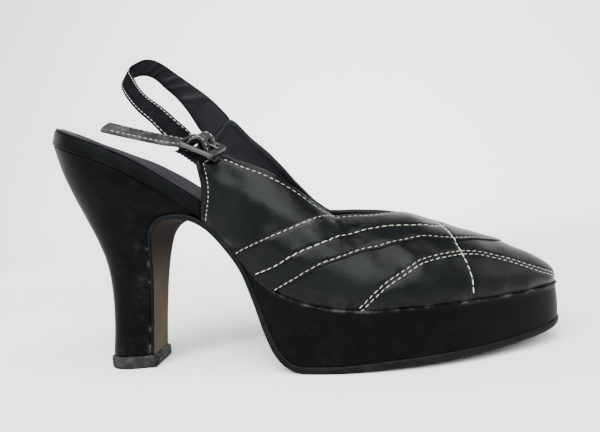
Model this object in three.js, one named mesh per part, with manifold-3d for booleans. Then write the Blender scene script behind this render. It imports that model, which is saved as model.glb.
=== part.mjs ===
// A woman's slingback platform shoe, right foot, in millimetres.
// X runs from the heel to the toe, Z up, and the outer side of the foot is at -Y.
// Inside this file x = 0 lies 3 mm behind the seat; the finished group is moved so that
// its origin is under the middle of its box.

import * as THREE from 'three';
import Module from 'manifold-3d';
import { mergeVertices } from 'three/addons/utils/BufferGeometryUtils.js';

const wasm = await Module();
wasm.setup();

// ---- Driving dimensions -------------------------------------------------------------------

const GAP = 0.3; // clearance between pieces that lie on each other
const UPPER_WALL = 1.8; // outer leather and lining together
const STRAP_WALL = 1.8;
const STRAP_WIDTH = 9;
const LIFT_HEIGHT = 5.2; // the replaceable top piece under the heel
const LIFT_OVERHANG = 0.6;
const NEAR = -1; // outer side of the foot
const FAR = 1; // inner side of the foot

/** A short table: the first argument names the columns, each later one is a row. */
function table(names, ...rows) {
  const keys = names.split(' ');
  return rows.map((row) => Object.fromEntries(keys.map((key, i) => [key, row[i]])));
}

// Outline of the last's bottom, with the height of the insole's top (bed) and underside (under).
// near and far are the half widths on the two sides; the first and last rows only steer the curve.
const OUTLINE = table(
  'x near far bed under',
  [4.4, -9.5, -9.5, 110.1, 103.1],
  [3.0, 0, 0, 110.6, 103.6],
  [4.4, 9.5, 9.5, 110.1, 103.1],
  [8.4, 17.5, 17.5, 108.4, 101.4],
  [15.5, 23.2, 23.2, 105.3, 98.3],
  [25.5, 26.9, 26.8, 100.9, 93.9],
  [37.5, 28.6, 28.2, 95.5, 88.4],
  [50, 28.4, 27.4, 88.3, 81.1],
  [62, 27.0, 25.4, 79.9, 72.4],
  [73, 25.9, 24.2, 71.2, 63.5],
  [83, 26.5, 24.2, 61.2, 52.8],
  [92, 29.4, 26.4, 50.8, 42.6],
  [101, 33.2, 30.0, 42.0, 34.6],
  [112, 37.3, 34.4, 34.2, 29.0],
  [127, 41.0, 38.4, 29.2, 25.8],
  [144, 42.5, 40.0, 28.1, 24.9],
  [161, 41.1, 39.1, 28.0, 24.9],
  [178, 36.4, 36.3, 28.0, 24.9],
  [193, 29.9, 31.4, 28.0, 24.9],
  [205, 23.2, 25.8, 28.0, 24.9],
  [214.8, 15.4, 19.0, 28.0, 24.9],
  [220.2, 7.0, 11.5, 28.0, 24.9],
  [221.8, -2.4, 2.4, 28.0, 24.9],
  [220.2, -11.5, -7.0, 28.0, 24.9],
);
const SEAT_BACK = 1; // row of the outline at the back of the seat
const TOE_TIP = OUTLINE.length - 2;

// Line where the upper meets the sole.
const FEATHER = table(
  'x z',
  [70, 66.2],
  [73, 63.5],
  [78, 58.2],
  [84, 50.9],
  [88, 45.5],
  [92, 40.3],
  [98, 35.0],
  [104, 31.4],
  [112, 28.3],
  [122, 26.0],
  [134, 24.8],
  [146, 24.5],
  [230, 24.5],
);

// Ground side of the outsole as one sheet: down the heel's breast it is a thin flap, then it
// runs under the arch, down the back of the platform and along the tread.
const SOLE = table(
  'x z thick near far',
  [41.9, 5.5, 1.4, 10.0, 10.0],
  [43.4, 22, 1.4, 10.1, 10.1],
  [45.0, 38, 1.4, 11.4, 11.4],
  [46.6, 51, 1.6, 14.4, 14.4],
  [48.6, 59.3, 2.0, 18.0, 17.8],
  [53.0, 63.8, 2.3, 21.0, 20.4],
  [60.5, 64.7, 2.4, 23.6, 22.4],
  [67.5, 63.2, 2.4, 24.8, 23.0],
  [74.0, 58.8, 2.4, 25.2, 23.2],
  [80.5, 50.9, 2.4, 25.6, 23.4],
  [86.4, 41.6, 2.4, 26.9, 24.4],
  [90.6, 30.0, 2.6, 28.1, 25.1],
  [94.8, 15.8, 2.8, 29.6, 26.5],
  [98.6, 7.0, 3.0, 31.0, 27.6],
  [103.6, 1.9, 3.0, 32.5, 29.2],
  [110, 0, 3.0, 34.3, 31.1],
  [118, 0, 3.0, 35.9, 33.0],
);
// Ground side of the tread in front of that sheet's last row: flat under the ball, then toe spring.
// inset is how far the tread stands in from the upper's edge.
const TREAD = table(
  'x z inset',
  [103.6, 0, 1.7],
  [110, 0, 2.2],
  [120, 0, 3.1],
  [124, 0, 3.4],
  [130, 0.4, 3.7],
  [137, 0.9, 3.9],
  [145, 1.5, 4.0],
  [154, 1.9, 4.0],
  [165, 2.4, 3.8],
  [178, 2.9, 3.3],
  [188, 3.5, 2.7],
  [198, 4.5, 1.8],
  [206, 5.3, 0.9],
  [212, 6.1, 0.3],
  [217, 6.9, 0],
  [223, 7.6, 0],
);
const TREAD_THICK = 3;
const TREAD_STARTS = 114; // x from which the tread follows the outline

// Block heel, a row for each level: its back edge, the outsole row where its front edge lies,
// its half width and its half width at the front.
const HEEL = table(
  'backX backZ front wide breast',
  [20.5, LIFT_HEIGHT + GAP, 0, 10.2, 9.8],
  [22.0, 20, 0.9, 10.2, 9.9],
  [22.4, 34, 1.75, 10.8, 10.6],
  [21.4, 47, 2.65, 12.8, 12.4],
  [18.8, 57.5, 3.6, 16.2, 15.6],
  [14.7, 68.5, 4.6, 20.2, 18.8],
  [10.0, 80, 5.5, 24.0, 21.6],
  [6.0, 91.5, 6.9, 26.8, 23.8],
);
const HEEL_SEAT = { backX: 3.6, frontX: 68, wide: 28.2, breast: 24.8 };
const HEEL_ROUND = 0.55; // share of the heel's length taken by its round back

// The upper's wall, a row for each rib from the sole line up to the top edge or the ridge.
// at = row of the outline where the rib starts; x y z = its upper end; lean = angle at which it
// arrives there, 90 being upright; bow = how far the rib bends forward half way up.
const NEAR_QUARTER = table(
  'at x y z lean bow',
  [8.97, 74.0, -29.3, 87.3, 82, 1.7],
  [9.5, 79.0, -26.9, 88.8, 78, 1.8],
  [10.1, 84.2, -25.4, 88.6, 76, 1.0],
  [10.8, 91.6, -27.2, 84.8, 74, 0.3],
  [11.6, 99.4, -28.2, 81.2, 68, 0],
  [12.5, 107.0, -27.6, 76.6, 57, 0],
  [13.3, 114.2, -26.0, 71.0, 45, 0],
  [13.8, 120.8, -23.4, 65.2, 34, 0],
  [14.1, 127.0, -20.0, 60.2, 26, 0],
);
const FAR_QUARTER = table(
  'at x y z lean bow',
  [8.97, 67.5, 26.5, 103.5, 84, 5.0],
  [9.5, 73.2, 27.0, 108.6, 84, 3.6],
  [10.1, 79.0, 27.2, 113.6, 84, 2.4],
  [10.8, 88.0, 27.8, 103.8, 82, 1.0],
  [11.6, 96.6, 27.8, 95.4, 77, 0],
  [12.5, 104.4, 27.0, 86.4, 68, 0],
  [13.3, 111.6, 25.2, 77.6, 55, 0],
  [13.8, 118.6, 22.2, 69.6, 40, 0],
  [14.1, 126.0, 18.0, 63.0, 28, 0],
);
const NEAR_THROAT = table(
  'at x y z lean bow',
  [14.1, 127.0, -20.0, 60.2, 26, 0],
  [14.6, 134.0, -16.6, 59.9, 22, 0],
  [15.1, 142.0, -13.0, 59.5, 17, 0],
  [15.6, 150.5, -8.6, 59.4, 12, 0],
  [16.0, 157.8, -3.0, 59.1, 5, 0],
  [16.15, 161.0, 3.0, 58.4, 0, 0],
);
const FAR_THROAT = table(
  'at x y z lean bow',
  [14.1, 126.0, 18.0, 63.0, 28, 0],
  [14.6, 133.4, 15.2, 62.3, 22, 0],
  [15.1, 141.4, 12.8, 61.6, 17, 0],
  [15.6, 150.0, 10.4, 60.6, 11, 0],
  [16.0, 157.6, 7.4, 59.3, 5, 0],
  [16.15, 161.0, 3.0, 58.4, 0, 0],
);
// Ridge of the vamp, from the throat to the small opening over the toes.
const RIDGE = table(
  'at x y z lean bow',
  [16.15, 161.0, 3.0, 58.4, 0, 0],
  [16.7, 171.0, 3.0, 54.5, 0, 0],
  [17.3, 181.0, 2.8, 50.4, 0, 0],
  [18.0, 191.0, 2.5, 46.6, 0, 0],
  [18.6, 199.4, 2.4, 43.2, 0, 0],
);
// Rim of the toe opening, as seen from above an ellipse; each side goes from its back to its front.
const TOE_HOLE = { x: 205.4, y: 2.4, long: 6, wide: 6.8, backZ: 43.2, frontZ: 37.2, sag: 0.5 };
const TOE_RIBS = table(
  'at turn lean',
  [18.6, 0, 0],
  [19.3, 38, 10],
  [20.1, 78, 20],
  [20.8, 112, 28],
  [21.5, 148, 34],
  [22, 180, 38],
);
const RIB_REACH = 0.39; // handle length of a rib's curve, as a share of its span
const FEATHER_FLARE = 0.1; // how much a rib starts outwards over the sole line
const UPRIGHT = 6; // a rib that leans in by less than this arrives square to the outline

// Buckle, with its own axes: along the strap, across it, and out of its face. Its front end is
// a broad plate that the prong rests on.
const BUCKLE = {
  centre: new THREE.Vector3(76.2, -27, 93.5),
  along: new THREE.Vector3(0.88, -0.1, -0.46),
  across: new THREE.Vector3(0.29, 0.89, 0.36),
  length: 16,
  width: 14,
  thick: 1.8,
  bar: 1.8,
  sides: 1.7,
  back: 1.4,
  plate: 3.0,
  corner: 2.2,
  bevel: 0.4,
};
const PRONG = { hole: 1.45, eye: 2.3, reach: 6.4, root: 0.75, tip: 0.45, wide: 1.7 };

// Strap end that passes through the buckle from the outer quarter. along = place on the
// buckle's length, out = height of the strap's middle over the buckle's plane.
const THROUGH_BUCKLE = table(
  'along out thick',
  [8.4, -2.2, 1.4],
  [6.6, -2.1, 1.4],
  [5.0, -2.05, 1.4],
  [3.9, -0.9, 1.4],
  [2.9, 1.2, 1.4],
  [1.6, 3.2, 1.4],
  [0, 4.1, 1.4],
  [-1.8, 3.9, 1.4],
  [-3.6, 2.3, 1.4],
  [-5.1, -0.1, 1.4],
  [-6.3, -1.9, 1.4],
  [-8.0, -2.4, 1.5],
  [-10.0, -2.7, 1.8],
);
// Loose end of that strap beyond the buckle: its middle and the direction of its width.
const LOOSE_END = table(
  'x y z wx wy wz',
  [61.0, -26.6, 97.2, 0.18, 0.87, 0.46],
  [50.0, -28.0, 100.4, 0.12, 0.87, 0.48],
  [38.0, -29.4, 104.2, 0.08, 0.86, 0.5],
);
// The sling strap's hook round the middle bar, again in the buckle's own axes.
const SLING_HOOK = table(
  'along out thick',
  [-1.9, 1.0, 0.9],
  [-0.2, 2.05, 0.9],
  [1.4, 1.35, 0.9],
  [1.65, -0.4, 0.9],
  [0.6, -2.0, 0.9],
  [-2.6, -3.2, 1.3],
  [-8.0, -4.6, 1.7],
);
// Elastic under the buckle, which ties the sling strap to the inside of the outer quarter.
const ELASTIC_WIDTH = 9.4;
const ELASTIC = table(
  'along out thick',
  [6.4, -7.2, 1.0],
  [3.0, -6.6, 1.0],
  [-1.0, -6.3, 1.1],
  [-5.0, -6.5, 1.1],
  [-9.0, -7.0, 1.0],
);
// The sling strap from the buckle round the back of the foot to the inner quarter: its lower and
// its upper edge.
const SLING = table(
  'lx ly lz ux uy uz',
  [64.2, -20.2, 94.8, 69.0, -15.4, 100.8],
  [57.9, -19.4, 100.7, 63.0, -17.6, 108.0],
  [52.8, -18.0, 106.5, 57.2, -15.2, 113.8],
  [46.2, -15.4, 113.0, 50.0, -11.4, 119.9],
  [40.8, -11.4, 119.4, 44.8, -6.8, 125.8],
  [37.0, -7.0, 124.9, 41.0, -2.4, 131.6],
  [35.0, -2.4, 128.4, 38.4, 1.2, 136.2],
  [34.4, 2.6, 131.4, 37.6, 4.8, 139.6],
  [35.4, 7.4, 134.2, 38.8, 8.4, 142.4],
  [38.2, 11.8, 136.9, 41.6, 12.0, 145.0],
  [41.4, 15.2, 137.6, 45.2, 15.6, 145.4],
  [44.4, 18.4, 136.2, 49.0, 19.0, 143.6],
  [47.6, 21.0, 132.6, 54.2, 21.8, 139.4],
  [52.4, 23.4, 127.6, 61.6, 24.2, 133.4],
  [57.4, 25.0, 120.2, 69.0, 25.8, 125.8],
  [62.0, 26.0, 111.4, 75.6, 26.8, 118.0],
  [66.6, 26.5, 104.3, 78.2, 27.2, 114.5],
);

// ---- Curves from the tables ---------------------------------------------------------------

const lerp = THREE.MathUtils.lerp;
const clamp = THREE.MathUtils.clamp;

/** One column of a table at a row number that may fall between rows (a Catmull-Rom curve). */
function column(rows, key, at) {
  const last = rows.length - 1;
  const i = clamp(Math.floor(at), 0, last - 1);
  const t = at - i;
  const value = (k) => rows[k][key];
  const before = i > 0 ? value(i - 1) : 2 * value(0) - value(1);
  const after = i + 2 <= last ? value(i + 2) : 2 * value(last) - value(last - 1);
  const [b, c] = [value(i), value(i + 1)];
  const bend = 2 * before - 5 * b + 4 * c - after;
  const twist = 3 * (b - c) + after - before;
  return b + 0.5 * t * (c - before + t * (bend + t * twist));
}

/** Row number of a table at which its rising x column has a given value. */
function rowAt(rows, x, first = 0) {
  let [low, high] = [first, rows.length - 1];
  while (high - low > 1e-7) {
    const middle = (low + high) / 2;
    if (column(rows, 'x', middle) < x) low = middle;
    else high = middle;
  }
  return low;
}

/** Height of a curve given by x and z columns, never under the ground. */
const heightOf = (rows, x) => Math.max(column(rows, 'z', rowAt(rows, x)), 0);

/** Point of the last's outline, moved inwards by inset, as seen from above. */
function plan(side, at, inset = 0) {
  const key = side === NEAR ? 'near' : 'far';
  const point = (row) => [column(OUTLINE, 'x', row), side * column(OUTLINE, key, row)];
  const [x, y] = point(at);
  const [ix, iy] = inwards(side, at, point);
  return [x + ix * inset, y + iy * inset];
}

/** Direction into the foot from a curve of the outline, as seen from above. */
function inwards(side, at, point) {
  const [ahead, behind] = [point(at + 0.01), point(at - 0.01)];
  const [dx, dy] = [ahead[0] - behind[0], ahead[1] - behind[1]];
  const length = Math.hypot(dx, dy);
  return [(side * dy) / length, (-side * dx) / length];
}

/** Ground-side point of the outsole sheet at a row, and the same point through its thickness. */
function soleAt(row, depth) {
  const [x, z] = [column(SOLE, 'x', row), Math.max(column(SOLE, 'z', row), 0)];
  const dx = column(SOLE, 'x', row + 0.02) - column(SOLE, 'x', row - 0.02);
  const dz = column(SOLE, 'z', row + 0.02) - column(SOLE, 'z', row - 0.02);
  const length = Math.hypot(dx, dz);
  return [x - (dz * depth) / length, z + (dx * depth) / length];
}

const soleThick = (row) => column(SOLE, 'thick', row);

/** How far the tread stands in from the upper's edge at a row of the outline. */
const treadInset = (side, at) => column(TREAD, 'inset', rowAt(TREAD, plan(side, at)[0]));

// ---- Building closed meshes ---------------------------------------------------------------

/** BufferGeometry of triangles given as corner points, with equal corners merged. */
function weld(corners) {
  const raw = new THREE.BufferGeometry();
  raw.setAttribute('position', new THREE.Float32BufferAttribute(corners.flat(), 3));
  const merged = mergeVertices(raw, 1e-3);
  const index = [];
  const source = merged.index.array;
  for (let i = 0; i < source.length; i += 3) {
    const [a, b, c] = [source[i], source[i + 1], source[i + 2]];
    if (a !== b && b !== c && c !== a) index.push(a, b, c);
  }
  merged.setIndex(index);
  return merged;
}

/** Turns a closed geometry right side out. */
function outward(geometry) {
  const p = geometry.attributes.position;
  const index = Array.from(geometry.index.array);
  const corner = (i) => new THREE.Vector3().fromBufferAttribute(p, index[i]);
  let volume = 0;
  for (let i = 0; i < index.length; i += 3) {
    volume += corner(i).dot(corner(i + 1).cross(corner(i + 2)));
  }
  if (volume < 0) {
    for (let i = 0; i < index.length; i += 3) {
      [index[i + 1], index[i + 2]] = [index[i + 2], index[i + 1]];
    }
  }
  geometry.setIndex(index);
  return geometry;
}

/** Solid through rings of points; each ring is closed, and both ends are capped. */
function loft(rings) {
  const corners = [];
  const count = rings[0].length;
  for (let i = 0; i + 1 < rings.length; i += 1) {
    for (let j = 0; j < count; j += 1) {
      const k = (j + 1) % count;
      const [a, b, c, d] = [rings[i][j], rings[i + 1][j], rings[i + 1][k], rings[i][k]];
      corners.push(a, b, c, a, c, d);
    }
  }
  const cap = (ring, flip) => {
    for (let j = 0; j < count / 2 - 1; j += 1) {
      const [a, b, c, d] = [ring[j], ring[j + 1], ring[count - 2 - j], ring[count - 1 - j]];
      const faces = flip ? [a, c, b, a, d, c] : [a, b, c, a, c, d];
      corners.push(...faces);
    }
  };
  cap(rings[0], false);
  cap(rings.at(-1), true);
  return outward(weld(corners));
}

/** Wall of a given thickness behind an open surface: the surface, its copy inside, and the rims. */
function wallBehind(geometry, thickness) {
  geometry.computeVertexNormals();
  const p = geometry.attributes.position;
  const n = geometry.attributes.normal;
  const index = geometry.index.array;
  const outer = (i) => [p.getX(i), p.getY(i), p.getZ(i)];
  const inner = (i) => [
    p.getX(i) - n.getX(i) * thickness,
    p.getY(i) - n.getY(i) * thickness,
    p.getZ(i) - n.getZ(i) * thickness,
  ];
  const corners = [];
  const seen = new Set();
  for (let i = 0; i < index.length; i += 3) {
    const [a, b, c] = [index[i], index[i + 1], index[i + 2]];
    corners.push(outer(a), outer(b), outer(c), inner(a), inner(c), inner(b));
    [[a, b], [b, c], [c, a]].forEach(([from, to]) => seen.add(`${from}_${to}`));
  }
  seen.forEach((edge) => {
    const [from, to] = edge.split('_').map(Number);
    if (seen.has(`${to}_${from}`)) return;
    corners.push(outer(to), outer(from), inner(from), outer(to), inner(from), inner(to));
  });
  return outward(weld(corners));
}

/** Evenly spaced numbers from one value to another, ends included. */
const steps = (from, to, count) =>
  Array.from({ length: count + 1 }, (_, i) => lerp(from, to, i / count));

// ---- Sole unit ----------------------------------------------------------------------------

/** Ring round the outsole's section: ground side, edge, upper side, edge. */
function sheetRing(near, far) {
  const [nearGround, nearEdge, nearTop] = near;
  const [farGround, farEdge, farTop] = far;
  return [nearGround, nearEdge, nearTop, farTop, farEdge, farGround];
}

/** Three points down the outsole's edge at a row of the sheet: ground, middle and top. */
function flapEdge(side, row) {
  const half = column(SOLE, side === NEAR ? 'near' : 'far', row);
  const thick = soleThick(row);
  const place = (depth, inset) => {
    const [x, z] = soleAt(row, depth);
    return [x, side * (half - inset), z];
  };
  return [place(0, 0.9), place(thick * 0.45, 0), place(thick, 0.1)];
}

/** The same three points at a row of the outline, for the tread. */
function treadEdge(side, at) {
  const place = (height, inset) => {
    const [x, y] = plan(side, at, treadInset(side, at) + inset);
    return [x, y, heightOf(TREAD, x) + height];
  };
  return [place(0, 1.6), place(1.3, 0), place(TREAD_THICK, 0)];
}

function outsole() {
  const sheet = (row) => sheetRing(flapEdge(NEAR, row), flapEdge(FAR, row));
  const tread = (at) => sheetRing(treadEdge(NEAR, at), treadEdge(FAR, at));
  const start = rowAt(OUTLINE, TREAD_STARTS, SEAT_BACK);
  return loft([...steps(0, SOLE.length - 2, 44).map(sheet), ...steps(start, TOE_TIP, 30).map(tread)]);
}

// The platform's back: rows of the outsole sheet between which it stands, and x of its top edge there.
const PLATFORM = { backRow: 10.35, turnRow: SOLE.length - 3, backTopX: 89.2, turnTopX: 108 };
const PLATFORM_INSET = 0.4; // how far the platform's top edge stands in from the upper

/** Ring round the platform at one step: up its near wall and down its far wall. */
function platformRing(step) {
  const [near, far] = [platformEdge(NEAR, step), platformEdge(FAR, step)];
  return [...near, ...far.reverse()];
}

/** Bottom and top of the platform's wall: steps up to 1 climb down its back, then run to the toe. */
function platformEdge(side, step) {
  if (step <= 1) {
    const row = lerp(PLATFORM.backRow, PLATFORM.turnRow, step);
    const [x, z] = soleAt(row, soleThick(row) + GAP);
    const half = column(SOLE, side === NEAR ? 'near' : 'far', row);
    const topX = lerp(PLATFORM.backTopX, PLATFORM.turnTopX, step);
    const [px, py] = plan(side, rowAt(OUTLINE, topX, SEAT_BACK), PLATFORM_INSET);
    return [[x, side * (half + 0.3), z], [px, py, heightOf(FEATHER, px) - GAP]];
  }
  const at = lerp(rowAt(OUTLINE, PLATFORM.turnTopX + 1, SEAT_BACK), TOE_TIP, step - 1);
  const [bx, by] = plan(side, at, treadInset(side, at) + 0.3);
  const [px, py] = plan(side, at, PLATFORM_INSET);
  const ground = heightOf(bx < TREAD[1].x ? SOLE : TREAD, bx);
  return [[bx, by, ground + TREAD_THICK + GAP], [px, py, heightOf(FEATHER, px) - GAP]];
}

function platform() {
  return loft([...steps(0, 1, 16), ...steps(1.02, 2, 34)].map(platformRing));
}

/** Ring round the heel block at one level: near side from back to front, then the far side back. */
function heelRing(back, front, wide, breast, heightAt) {
  const shares = steps(0, 1, 14).map((v) => 1 - Math.cos((v * Math.PI) / 2));
  const side = (sign) =>
    shares.map((v) => {
      const round = Math.max(1 - v / HEEL_ROUND, 0);
      const shape = Math.pow(1 - round * round, 0.46);
      const taper = lerp(1, breast / wide, THREE.MathUtils.smoothstep(v, HEEL_ROUND * 0.8, 1));
      const x = lerp(back[0], front[0], v);
      return [x, sign * wide * shape * taper, heightAt(x, v)];
    });
  return [...side(NEAR), ...side(FAR).reverse()];
}

function heel() {
  const rings = steps(0, HEEL.length - 1, 22).map((level) => {
    const row = column(HEEL, 'front', level);
    const front = soleAt(row, soleThick(row) + GAP);
    const back = [column(HEEL, 'backX', level), column(HEEL, 'backZ', level)];
    const [wide, breast] = [column(HEEL, 'wide', level), column(HEEL, 'breast', level)];
    return heelRing(back, front, wide, breast, (x, v) => lerp(back[1], front[1], v));
  });
  const { backX, frontX, wide, breast } = HEEL_SEAT;
  const seatHeight = (x) => column(OUTLINE, 'under', rowAt(OUTLINE, x, SEAT_BACK)) - GAP;
  rings.push(heelRing([backX, 0], [frontX, 0], wide, breast, seatHeight));
  return loft(rings);
}

function topPiece() {
  const foot = HEEL[0];
  const back = foot.backX - LIFT_OVERHANG;
  const front = SOLE[0].x + LIFT_OVERHANG;
  const wide = foot.wide + LIFT_OVERHANG;
  const level = (z, inset) =>
    heelRing([back + inset, z], [front - inset, z], wide - inset, wide - inset - 0.4, () => z);
  return loft([level(0, 0.3), level(0.5, 0), level(LIFT_HEIGHT, 0)]);
}

/** Insole: a covered board whose edge shows round the seat, and which lies inside the upper in front. */
function insole() {
  const tuck = UPPER_WALL + GAP + 0.2;
  const [turnX, gripX] = [70.4, 72.8]; // between these its edge moves inside the upper
  const ring = (at) => {
    const x = column(OUTLINE, 'x', at);
    const inset = lerp(0, tuck, THREE.MathUtils.smoothstep(x, turnX + 0.4, gripX - 0.2));
    const [bed, under] = [column(OUTLINE, 'bed', at), column(OUTLINE, 'under', at)];
    const edge = (side) => {
      const [ex, ey] = plan(side, at, inset);
      const [tx, ty] = plan(side, at, inset + 1);
      return [[ex, ey, under], [ex, ey, bed - 1.2], [tx, ty, bed]];
    };
    const [near, far] = [edge(NEAR), edge(FAR)];
    return [near[0], near[1], near[2], far[2], far[1], far[0]];
  };
  const turn = rowAt(OUTLINE, turnX, SEAT_BACK);
  const grip = rowAt(OUTLINE, gripX, SEAT_BACK);
  const seat = steps(SEAT_BACK, turn, 20);
  const front = [...steps(turn, grip, 4).slice(1), ...steps(grip, TOE_TIP, 30).slice(1)];
  return loft([...seat, ...front].map(ring));
}

// ---- Upper --------------------------------------------------------------------------------

/** Point on a rib of the upper, v running from the sole line (0) to its upper end (1). */
function ribPoint(side, at, end, lean, bow, v) {
  const [fx, fy] = plan(side, at);
  const foot = new THREE.Vector3(fx, fy, heightOf(FEATHER, fx));
  const inward = new THREE.Vector3(end.x - fx, end.y - fy, 0);
  const flat = inward.length();
  inward.normalize();
  const [ix, iy] = inwards(side, at, (row) => plan(side, row));
  const outwards = new THREE.Vector3(-ix, -iy, 0);
  const reach = RIB_REACH * foot.distanceTo(end);
  const angle = THREE.MathUtils.degToRad(lean);
  const arrive = flat > UPRIGHT ? inward : outwards.clone().negate();
  const rise = new THREE.Vector3(0, 0, 1).addScaledVector(outwards, FEATHER_FLARE);
  const curve = new THREE.CubicBezierCurve3(
    foot,
    foot.clone().addScaledVector(rise, reach),
    end.clone().addScaledVector(arrive, -reach * Math.cos(angle)).setZ(end.z - reach * Math.sin(angle)),
    end,
  );
  const point = curve.getPoint(v);
  point.x += bow * Math.sin(Math.PI * v);
  return point;
}

/** Ribs of one part of the upper, from a table of their upper ends. */
function ribs(side, rows, count) {
  return steps(0, rows.length - 1, count).map((row) => {
    const end = new THREE.Vector3(...['x', 'y', 'z'].map((key) => column(rows, key, row)));
    const [at, lean, bow] = ['at', 'lean', 'bow'].map((key) => column(rows, key, row));
    return (v) => ribPoint(side, at, end, lean, bow, v);
  });
}

/** Ribs round the toe, which end on the rim of the toe opening. */
function toeRibs(side, count) {
  const { x, y, long, wide, backZ, frontZ, sag } = TOE_HOLE;
  return steps(0, TOE_RIBS.length - 1, count).map((row) => {
    const turn = THREE.MathUtils.degToRad(column(TOE_RIBS, 'turn', row));
    const share = (1 - Math.cos(turn)) / 2;
    const end = new THREE.Vector3(
      x - long * Math.cos(turn),
      y + side * wide * Math.sin(turn),
      lerp(backZ, frontZ, share) - sag * Math.sin(turn),
    );
    const [at, lean] = [column(TOE_RIBS, 'at', row), column(TOE_RIBS, 'lean', row)];
    return (v) => ribPoint(side, at, end, lean, 0, v);
  });
}

/** The upper's outer surface, open at its edges. */
function upperSkin() {
  const RISE = 12;
  const corners = [];
  const skin = (side, parts) => {
    const lines = parts.flatMap((part, i) => (i ? part.slice(1) : part));
    const grid = lines.map((rib) => steps(0, 1, RISE).map((v) => rib(v).toArray()));
    for (let i = 0; i + 1 < grid.length; i += 1) {
      for (let j = 0; j < RISE; j += 1) {
        const [a, b, c, d] = [grid[i][j], grid[i + 1][j], grid[i + 1][j + 1], grid[i][j + 1]];
        if (side === NEAR) corners.push(a, b, c, a, c, d);
        else corners.push(a, c, b, a, d, c);
      }
    }
  };
  const part = (side, quarter, throat) => [
    ribs(side, quarter, 18),
    ribs(side, throat, 8),
    ribs(side, RIDGE, 8),
    toeRibs(side, 14),
  ];
  skin(NEAR, part(NEAR, NEAR_QUARTER, NEAR_THROAT));
  skin(FAR, part(FAR, FAR_QUARTER, FAR_THROAT));
  return weld(corners);
}

const upper = () => wallBehind(upperSkin(), UPPER_WALL);

/** The room that the upper takes with a gap on both faces, for cutting straps that touch it. */
function upperRoom() {
  const skin = upperSkin();
  skin.computeVertexNormals();
  const p = skin.attributes.position;
  const n = skin.attributes.normal;
  for (let i = 0; i < p.count; i += 1) {
    p.setXYZ(i, p.getX(i) + n.getX(i) * GAP, p.getY(i) + n.getY(i) * GAP, p.getZ(i) + n.getZ(i) * GAP);
  }
  const room = toManifold(wallBehind(skin, UPPER_WALL + 2 * GAP));
  return room.add(room.translate([0, 0, GAP]));
}

// ---- Straps and buckle --------------------------------------------------------------------

BUCKLE.along.normalize();
BUCKLE.out = new THREE.Vector3().crossVectors(BUCKLE.along, BUCKLE.across).normalize();
BUCKLE.across.crossVectors(BUCKLE.out, BUCKLE.along);

/** A place given in the buckle's own axes. */
const onBuckle = (along, across, out) =>
  BUCKLE.centre.clone()
    .addScaledVector(BUCKLE.along, along)
    .addScaledVector(BUCKLE.across, across)
    .addScaledVector(BUCKLE.out, out);

/** Matrix that places a shape on the buckle: its x along the strap, then two more of its axes. */
const buckleAxes = (second, third) =>
  new THREE.Matrix4().makeBasis(BUCKLE.along, second, third).setPosition(BUCKLE.centre);

/** Ribbon of leather through pairs of edge points; each pair has its own thickness. */
function ribbon(pairs) {
  const middle = (pair) => pair.low.clone().add(pair.high).multiplyScalar(0.5);
  return loft(
    pairs.map((pair, i) => {
      const ahead = middle(pairs[Math.min(i + 1, pairs.length - 1)]);
      const run = ahead.sub(middle(pairs[Math.max(i - 1, 0)]));
      const face = run.cross(pair.high.clone().sub(pair.low)).normalize().multiplyScalar(pair.thick / 2);
      return [
        pair.low.clone().add(face),
        pair.high.clone().add(face),
        pair.high.clone().sub(face),
        pair.low.clone().sub(face),
      ].map((corner) => corner.toArray());
    }),
  );
}

/** Smoothly resampled copy of a list of edge pairs. */
function smoothPairs(pairs, count) {
  const flat = pairs.map(({ low, high, thick }) => ({
    lx: low.x, ly: low.y, lz: low.z, ux: high.x, uy: high.y, uz: high.z, thick,
  }));
  const point = (keys, row) => new THREE.Vector3(...keys.map((key) => column(flat, key, row)));
  return steps(0, flat.length - 1, count).map((row) => ({
    low: point(['lx', 'ly', 'lz'], row),
    high: point(['ux', 'uy', 'uz'], row),
    thick: column(flat, 'thick', row),
  }));
}

const buckledPair = (row, width, thick) => ({
  low: onBuckle(row.along, -width / 2, row.out),
  high: onBuckle(row.along, width / 2, row.out),
  thick,
});

function toManifold(geometry) {
  const vertProperties = new Float32Array(geometry.attributes.position.array);
  const triVerts = new Uint32Array(geometry.index.array);
  return new wasm.Manifold(new wasm.Mesh({ numProp: 3, vertProperties, triVerts }));
}

function fromManifold(solid) {
  const mesh = solid.getMesh();
  const geometry = new THREE.BufferGeometry();
  geometry.setAttribute('position', new THREE.Float32BufferAttribute(mesh.vertProperties, 3));
  geometry.setIndex(Array.from(mesh.triVerts));
  return geometry;
}

/** Cuts a box, given in the buckle's axes, out of a strap: the slot for the prong. */
function slotted(geometry, from, to) {
  const size = new THREE.Vector3().subVectors(to, from);
  const box = new THREE.BoxGeometry(size.x, size.y, size.z);
  box.translate((from.x + to.x) / 2, (from.y + to.y) / 2, (from.z + to.z) / 2);
  box.applyMatrix4(buckleAxes(BUCKLE.across, BUCKLE.out));
  box.deleteAttribute('normal');
  box.deleteAttribute('uv');
  return fromManifold(toManifold(geometry).subtract(toManifold(mergeVertices(box))));
}

/** A strap with the upper's room cut away; only its largest piece is kept. */
function clearOfUpper(geometry) {
  const pieces = toManifold(geometry).subtract(upperRoom()).decompose();
  return fromManifold(pieces.reduce((best, piece) => (piece.volume() > best.volume() ? piece : best)));
}

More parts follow.
